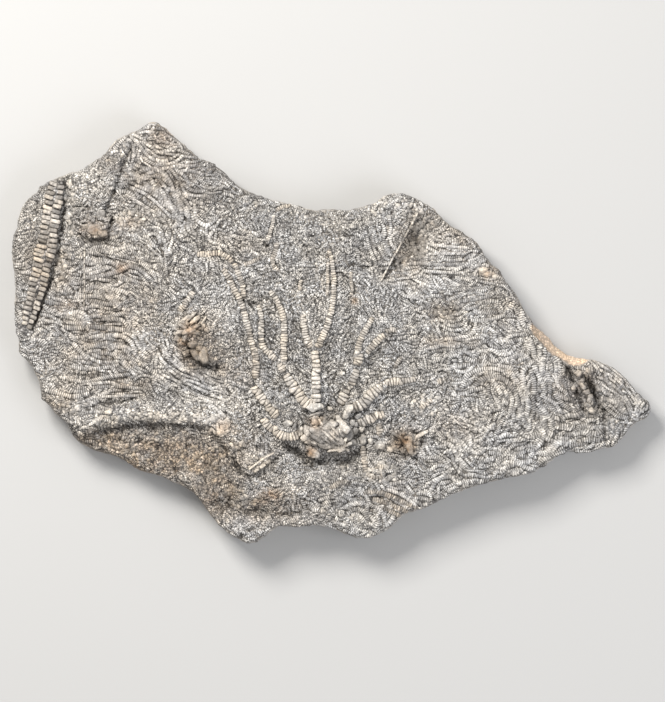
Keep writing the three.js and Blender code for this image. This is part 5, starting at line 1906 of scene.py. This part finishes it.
@dataclass
class StrandMat:
    """The mat of jointed strands that covers the bedding plane.

    Strands start where the mat is thinnest and grow both ways along the flow, each with its own bend.
    """

    relief: Relief
    arms: list[Arm]
    per_round: int = 420
    trials: int = 14
    half_size: tuple[float, float] = (94.0, 62.0)
    triangle_limit: int = 660_000
    cover_cell: float = 0.5
    cover: Array = field(init=False)
    taken: Array = field(init=False)
    triangles: int = 0

    def __post_init__(self) -> None:
        """Starts with bare stone, and marks where the crown's arms lie."""
        self.cover = np.zeros(self.relief.cells)
        x, y = self.relief.grid(self.cover_cell)
        self.taken = np.zeros(self.cover.shape)
        for arm in self.arms:
            distance, _ = path_distance(x, y, arm.path)
            self.taken = np.maximum(self.taken, (distance < 0.3 * arm.width).astype(float))

    def _cell(self, course: Array) -> tuple[Array, Array]:
        """Gives the cover grid's cells at places."""
        cell = ((course - self.relief.low) / self.cover_cell).astype(int)
        far = np.array(self.cover.shape) - 1
        return tuple(np.moveaxis(np.clip(cell, 0, far), -1, 0))

    def _flow(self, x: Array, y: Array) -> tuple[Array, Array, Array, Array]:
        """Gives the mat's direction, order, strand width and joint depth at places.

        Nearby flows are averaged with weights that fall with the fourth power of the distance. Directions
        are averaged as doubled angles, because a strand has no front. Disorder turns them by smooth noise.

        Args:
            x: Places along X.
            y: Places along Y.

        Returns:
            Direction in radians, order, strand width and joint depth.
        """
        total, east, north, order, width, ticks = (np.zeros(np.shape(x)) for _ in range(6))
        for flow in FLOWS:
            weight = 1 / ((x - flow.x) ** 2 + (y - flow.y) ** 2 + 4.0) ** 2
            doubled = 2 * math.radians(flow.direction)
            total += weight
            east += weight * math.cos(doubled) * (0.2 + flow.order)
            north += weight * math.sin(doubled) * (0.2 + flow.order)
            order += weight * flow.order
            width += weight * flow.width
            ticks += weight * flow.ticks
        order = order / total
        wander = 1.6 * Noise(71)(x, y, 4.0) + 1.0 * Noise(72)(x, y, 1.9)
        direction = np.arctan2(north, east) / 2 + wander * np.clip(1.25 - order, 0.12, 2)
        return direction, order, width / total, ticks / total

    def _grow(self, rng: np.random.Generator, sowing: Sowing) -> Strands:
        """Grows one round of strands.

        Args:
            rng: Source of the random draws.
            sowing: Their length, and where they may lie.

        Returns:
            The strands that fit.
        """
        count = self.per_round
        reach = np.array(self.half_size)
        trial = rng.uniform(-reach, reach, (count * self.trials, 2))
        x, y = trial.T
        _, order, _, _ = self._flow(x, y)
        cover = self.cover[self._cell(trial)] + 0.25 * rng.random(len(trial))
        barred = (order < sowing.least_order) | (self.relief.margin(x, y) < 0.5)
        barred |= rng.random(len(trial)) < 0.9 * stain_strength(GRANULAR_BEDS, x, y) - 0.2
        best = np.argsort(np.where(barred, 99, cover))[:count]
        best = best[~barred[best]]
        count = len(best)
        x0, y0 = x[best], y[best]
        direction, order, width, ticks = self._flow(x0, y0)
        broad = rng.random(count) < 0.25 + 0.75 * order
        wide = (0.45 + 0.52 * width) * rng.uniform(0.65, 1.1, count)
        width = np.where(broad, wide, rng.uniform(0.55, 0.95, count))
        ticks = np.clip(ticks + rng.normal(0, 0.12, count), 0.1, 1)
        pitch = (0.38 + 0.12 * width) * rng.uniform(0.9, 1.2, count) * (1.5 - 0.5 * ticks)
        bend = rng.normal(0, 1, count) * (0.03 + 0.16 * (1 - order))
        stray = rng.normal(0, 0.36, count) * (1.3 - order)
        middle, rings = sowing.joints, 2 * sowing.joints + 1
        course = np.zeros((count, rings, 2))
        course[:, middle] = np.stack([x0, y0], -1)
        for sign, steps in ((1, range(middle + 1, rings)), (-1, range(middle - 1, -1, -1))):
            x, y, heading, target = x0.copy(), y0.copy(), direction + stray, direction
            for number, ring in enumerate(steps):
                if number % 3 == 2:
                    target = self._flow(x, y)[0]
                aim = target + stray + bend * (number + 1) * pitch * sign
                off = (aim - heading + math.pi / 2) % math.pi - math.pi / 2
                heading = heading + np.clip(off, -0.25, 0.25)
                x = x + sign * np.cos(heading) * pitch / 2
                y = y + sign * np.sin(heading) * pitch / 2
                course[:, ring] = np.stack([x, y], -1)
        margin = self.relief.margin(course[..., 0], course[..., 1])
        clear = margin - break_width(course[..., 0], course[..., 1])
        cells = self._cell(course)
        fits = (clear.min(1) > 0.26 * width) & (self.taken[cells].mean(1) < 0.2)
        fits &= self.cover[cells].mean(1) < sowing.crowd
        return Strands(course, width, pitch, ticks).only(np.flatnonzero(fits))

    def _note_cover(self, strands: Strands) -> None:
        """Adds strands' footprints to the cover: three marks across each ring, together half a joint."""
        course, width = strands.course, strands.width
        across = headings(course)[1]
        footprint = width * strands.pitch / 6 / self.cover_cell**2
        footprint = np.broadcast_to(footprint[:, None], course.shape[:2])
        for share in (-0.36, 0.0, 0.36):
            np.add.at(self.cover, self._cell(course + across * (share * width)[:, None, None]), footprint)

    def _dress(self, rng: np.random.Generator, sweep: Sweep, strands: Strands, lift: float) -> None:
        """Turns courses into jointed bodies and adds them to a piece.

        Rings alternate between a joint's groove and an ossicle's crest. A strand sinks into the stone at
        both ends, and where the bed is grainy. Some ossicles are worn down.

        Args:
            rng: Source of the random draws.
            sweep: The piece.
            strands: The strands.
            lift: How far they stand above the stone.
        """
        if not len(strands.width):
            return
        course, ticks = strands.course, strands.ticks[:, None]
        width = strands.width[:, None]
        count, rings = course.shape[:2]
        crest = (np.arange(rings) % 2).astype(float)
        joint = np.arange(rings) // 2
        vary = rng.normal(0, 1, (4, count, joint.max() + 1))[:, :, joint]
        worn = np.clip(vary[3] - 1.2, 0, 1)
        ends = smooth(np.minimum(np.arange(rings), rings - 1 - np.arange(rings)).astype(float), -0.8, 2.4)
        x, y = course[..., 0], course[..., 1]
        depth = stain_strength(GRANULAR_BEDS, x, y)
        own = rng.uniform(-0.18, 0.16, count)[:, None]
        groove = (0.12 + 0.30 * ticks) * (1 - crest)
        half_width = width / 2 * (1 - 0.10 * ticks * (1 - crest)) * (0.6 + 0.4 * ends) * (1 + 0.07 * vary[0])
        flatness = np.clip(0.50 - 0.09 * width, 0.26, 0.44)
        half_height = width * flatness * (1 - groove) * (1 + 0.13 * vary[1]) * (1 - 0.35 * worn)
        half_height = 0.9 * half_height * (0.55 + 0.45 * ends) * (1 - 0.4 * depth)
        level = self.relief.height(x, y) + lift + own - 0.35 * (1 - ends) - 0.2 * depth + 0.05 * vary[2]
        slant = rng.normal(0, 0.28, count)[:, None] + 0 * ends
        dirt_and_shade = (1 - crest) * (0.3 + 0.5 * ticks) + 0.2 * rng.random((count, 1)) + 0.4 * worn
        # The plate's hollows darken the strands that lie in them: painted shade.
        hollow = np.clip(self.relief.hollow(x, y), 0, 1)
        dirt_and_shade = 1 - (1 - np.clip(dirt_and_shade, 0, 1)) * (1 - 0.8 * hollow)
        tone = np.minimum(0.45 + 0.11 * rng.normal(0, 1, (count, 1)) + 0.20 * vary[2] + 0.3 * own, 1.0)
        roll = rng.normal(0, 0.13, count)
        sweep.add(np.stack([x, y, level], -1), half_width, half_height, slant, dirt_and_shade, tone, roll)
        self.triangles += count * (2 * rings * len(sweep.profile.shares()) - 4)

    def _guides(self, rng: np.random.Generator) -> list[Strands]:
        """Works out the listed long strands, each as deep-jointed as the mat around it."""
        laid = []
        for corners, width in GUIDES:
            width = 0.3 + 0.6 * width
            pitch = (0.38 + 0.12 * width) * rng.uniform(0.95, 1.1)
            marks = smooth_path(np.array(corners, float), pitch / 2)
            marks = marks[: (len(marks) - 1) // 2 * 2 + 1]
            ticks = self._flow(*marks[len(marks) // 2])[3]
            laid.append(Strands(marks[None], np.array([width]), np.array([pitch]), np.array([ticks])))
        return laid

    def build(self, material: bpy.types.Material) -> list[bpy.types.Object]:
        """Makes the mat, in six pieces by place.

        Args:
            material: Its finish.

        Returns:
            The new objects.
        """
        rng = np.random.default_rng(SEED)
        names = ("mat_west", "mat_northwest", "mat_south", "mat_centre", "mat_northeast", "mat_east")
        sweeps = {name: Sweep(Profile.SLIVER, flank_shade=0.5) for name in names}

        def share_out(strands: Strands, lift: float) -> None:
            """Adds strands to the piece in whose part of the plate their middle lies."""
            x, y = strands.course.mean(1).T
            parts = [x > 40, (x > 4) & (y > -8), (x > -26) & (y > -8), x > -26, y > 8]
            part = np.select(parts, [5, 4, 3, 2, 1], 0)
            for number, sweep in enumerate(sweeps.values()):
                self._dress(rng, sweep, strands.only(part == number), lift)

        for guide in self._guides(rng):
            self._note_cover(guide)
            share_out(guide, 0.08)
        total = 0
        for sowing in SOWINGS:
            for _ in range(sowing.rounds):
                if self.triangles < self.triangle_limit:
                    strands = self._grow(rng, sowing)
                    self._note_cover(strands)
                    total += len(strands.width)
                    share_out(strands, 0.04)
            LOG.info("mat: %d-joint strands sown, %d in all", sowing.joints, total)
        LOG.info("mat: cover %.2f, %d triangles", self.cover[self.relief.margins > 1].mean(), self.triangles)
        return [sweep.finish(name, self.relief, material) for name, sweep in sweeps.items()]


# ---------------------------------------------------------------------------------------------------------
# The studio
# ---------------------------------------------------------------------------------------------------------


@dataclass
class Studio:
    """A pale table top, a soft key light from the upper left, a weak fill, and a camera straight above."""

    distance: float = 3000.0
    view_height: float = 202.9
    look_at: tuple[float, float, float] = (0.15, -5.35, 12.0)
    sensor: float = 36.0

    def build(self) -> None:
        """Makes the floor, the lights and the camera."""
        self._floor()
        self._light("key", (-330, 420, 520), 300, 9.0, "#fffdfb")
        self._light("fill", (450, -250, 500), 500, 3.0, "#f4f7ff")
        world = bpy.data.worlds.new("soft_room")
        world.use_nodes = True
        world.node_tree.nodes["Background"].inputs["Color"].default_value = linear("#f2f2f4")
        world.node_tree.nodes["Background"].inputs["Strength"].default_value = 0.6
        bpy.context.scene.world = world
        bpy.context.scene.view_settings.view_transform = "Standard"
        self._camera()

    def _floor(self) -> None:
        """Makes the table top that the plate lies on."""
        mesh = bpy.data.meshes.new("table_top")
        half = 2.0
        corners = [(-half, -half, 0), (half, -half, 0), (half, half, 0), (-half, half, 0)]
        mesh.from_pydata(corners, [], [(0, 1, 2, 3)])
        floor = bpy.data.objects.new("table_top", mesh)
        bpy.context.scene.collection.objects.link(floor)
        material = bpy.data.materials.new("matt_paper")
        material.use_nodes = True
        shader = material.node_tree.nodes["Principled BSDF"]
        shader.inputs["Base Color"].default_value = linear("#aeadaa")
        shader.inputs["Roughness"].default_value = 0.9
        mesh.materials.append(material)

    def _light(
        self, name: str, place: tuple[float, float, float], size: float, watts: float, colour: str
    ) -> None:
        """Makes a square soft light that faces the plate.

        Args:
            name: Its name.
            place: Its middle.
            size: Its side.
            watts: Its power.
            colour: Its colour in sRGB hex.
        """
        lamp = bpy.data.lights.new(name, "AREA")
        lamp.shape = "SQUARE"
        lamp.size = size * MM
        lamp.energy = watts
        lamp.color = linear(colour)[:3]
        holder = bpy.data.objects.new(name, lamp)
        holder.location = Vector(place) * MM
        holder.rotation_euler = (-Vector(place)).to_track_quat("-Z", "Y").to_euler()
        bpy.context.scene.collection.objects.link(holder)

    def _camera(self) -> None:
        """Makes the camera, looking straight down with +Y up in its view."""
        lens = bpy.data.cameras.new("camera")
        lens.sensor_width = self.sensor
        lens.lens = self.sensor * self.distance / self.view_height
        lens.clip_start = 0.01
        holder = bpy.data.objects.new("camera", lens)
        x, y, z = self.look_at
        holder.location = Vector((x, y, z + self.distance)) * MM
        bpy.context.scene.collection.objects.link(holder)
        bpy.context.scene.camera = holder


def main() -> None:
    """Builds the slab's looks around its frame."""
    logging.basicConfig(level=logging.INFO, format="%(name)s: %(message)s")
    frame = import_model()
    Studio().build()
    limestone, calcite = LIMESTONE.build(), CALCITE.build()
    relief = Relief(frame["nodes"][CAD_NODE])
    StonePlate(relief).build(limestone)
    crown_arms = CrownArms(relief)
    thick_arm = ThickArm(relief)
    crown_arms.build(calcite)
    thick_arm.build(calcite)
    LooseRods(relief).build(calcite)
    LumpField("crown_cup", relief, CUP_LUMPS, SEED + 4).build(calcite)
    LumpField("nodules", relief, NODULE_LUMPS, SEED + 5).build(calcite)
    scatter = np.random.default_rng(SEED + 6)
    bits = [bit for row in SPILL_ROWS for bit in Rubble(*row).spill(scatter)]
    bits = [bit for bit in bits if relief.margin(bit.x, bit.y) > 1.2 + bit.length]
    LumpField("rubble", relief, bits, SEED + 7, rings=4, around=8).build(calcite)
    keep_clear = [*crown_arms.arms, Arm(thick_arm.spine, 8.0)]
    StrandMat(relief, keep_clear).build(MAT_CALCITE.build())


if __name__ == "__main__":
    main()
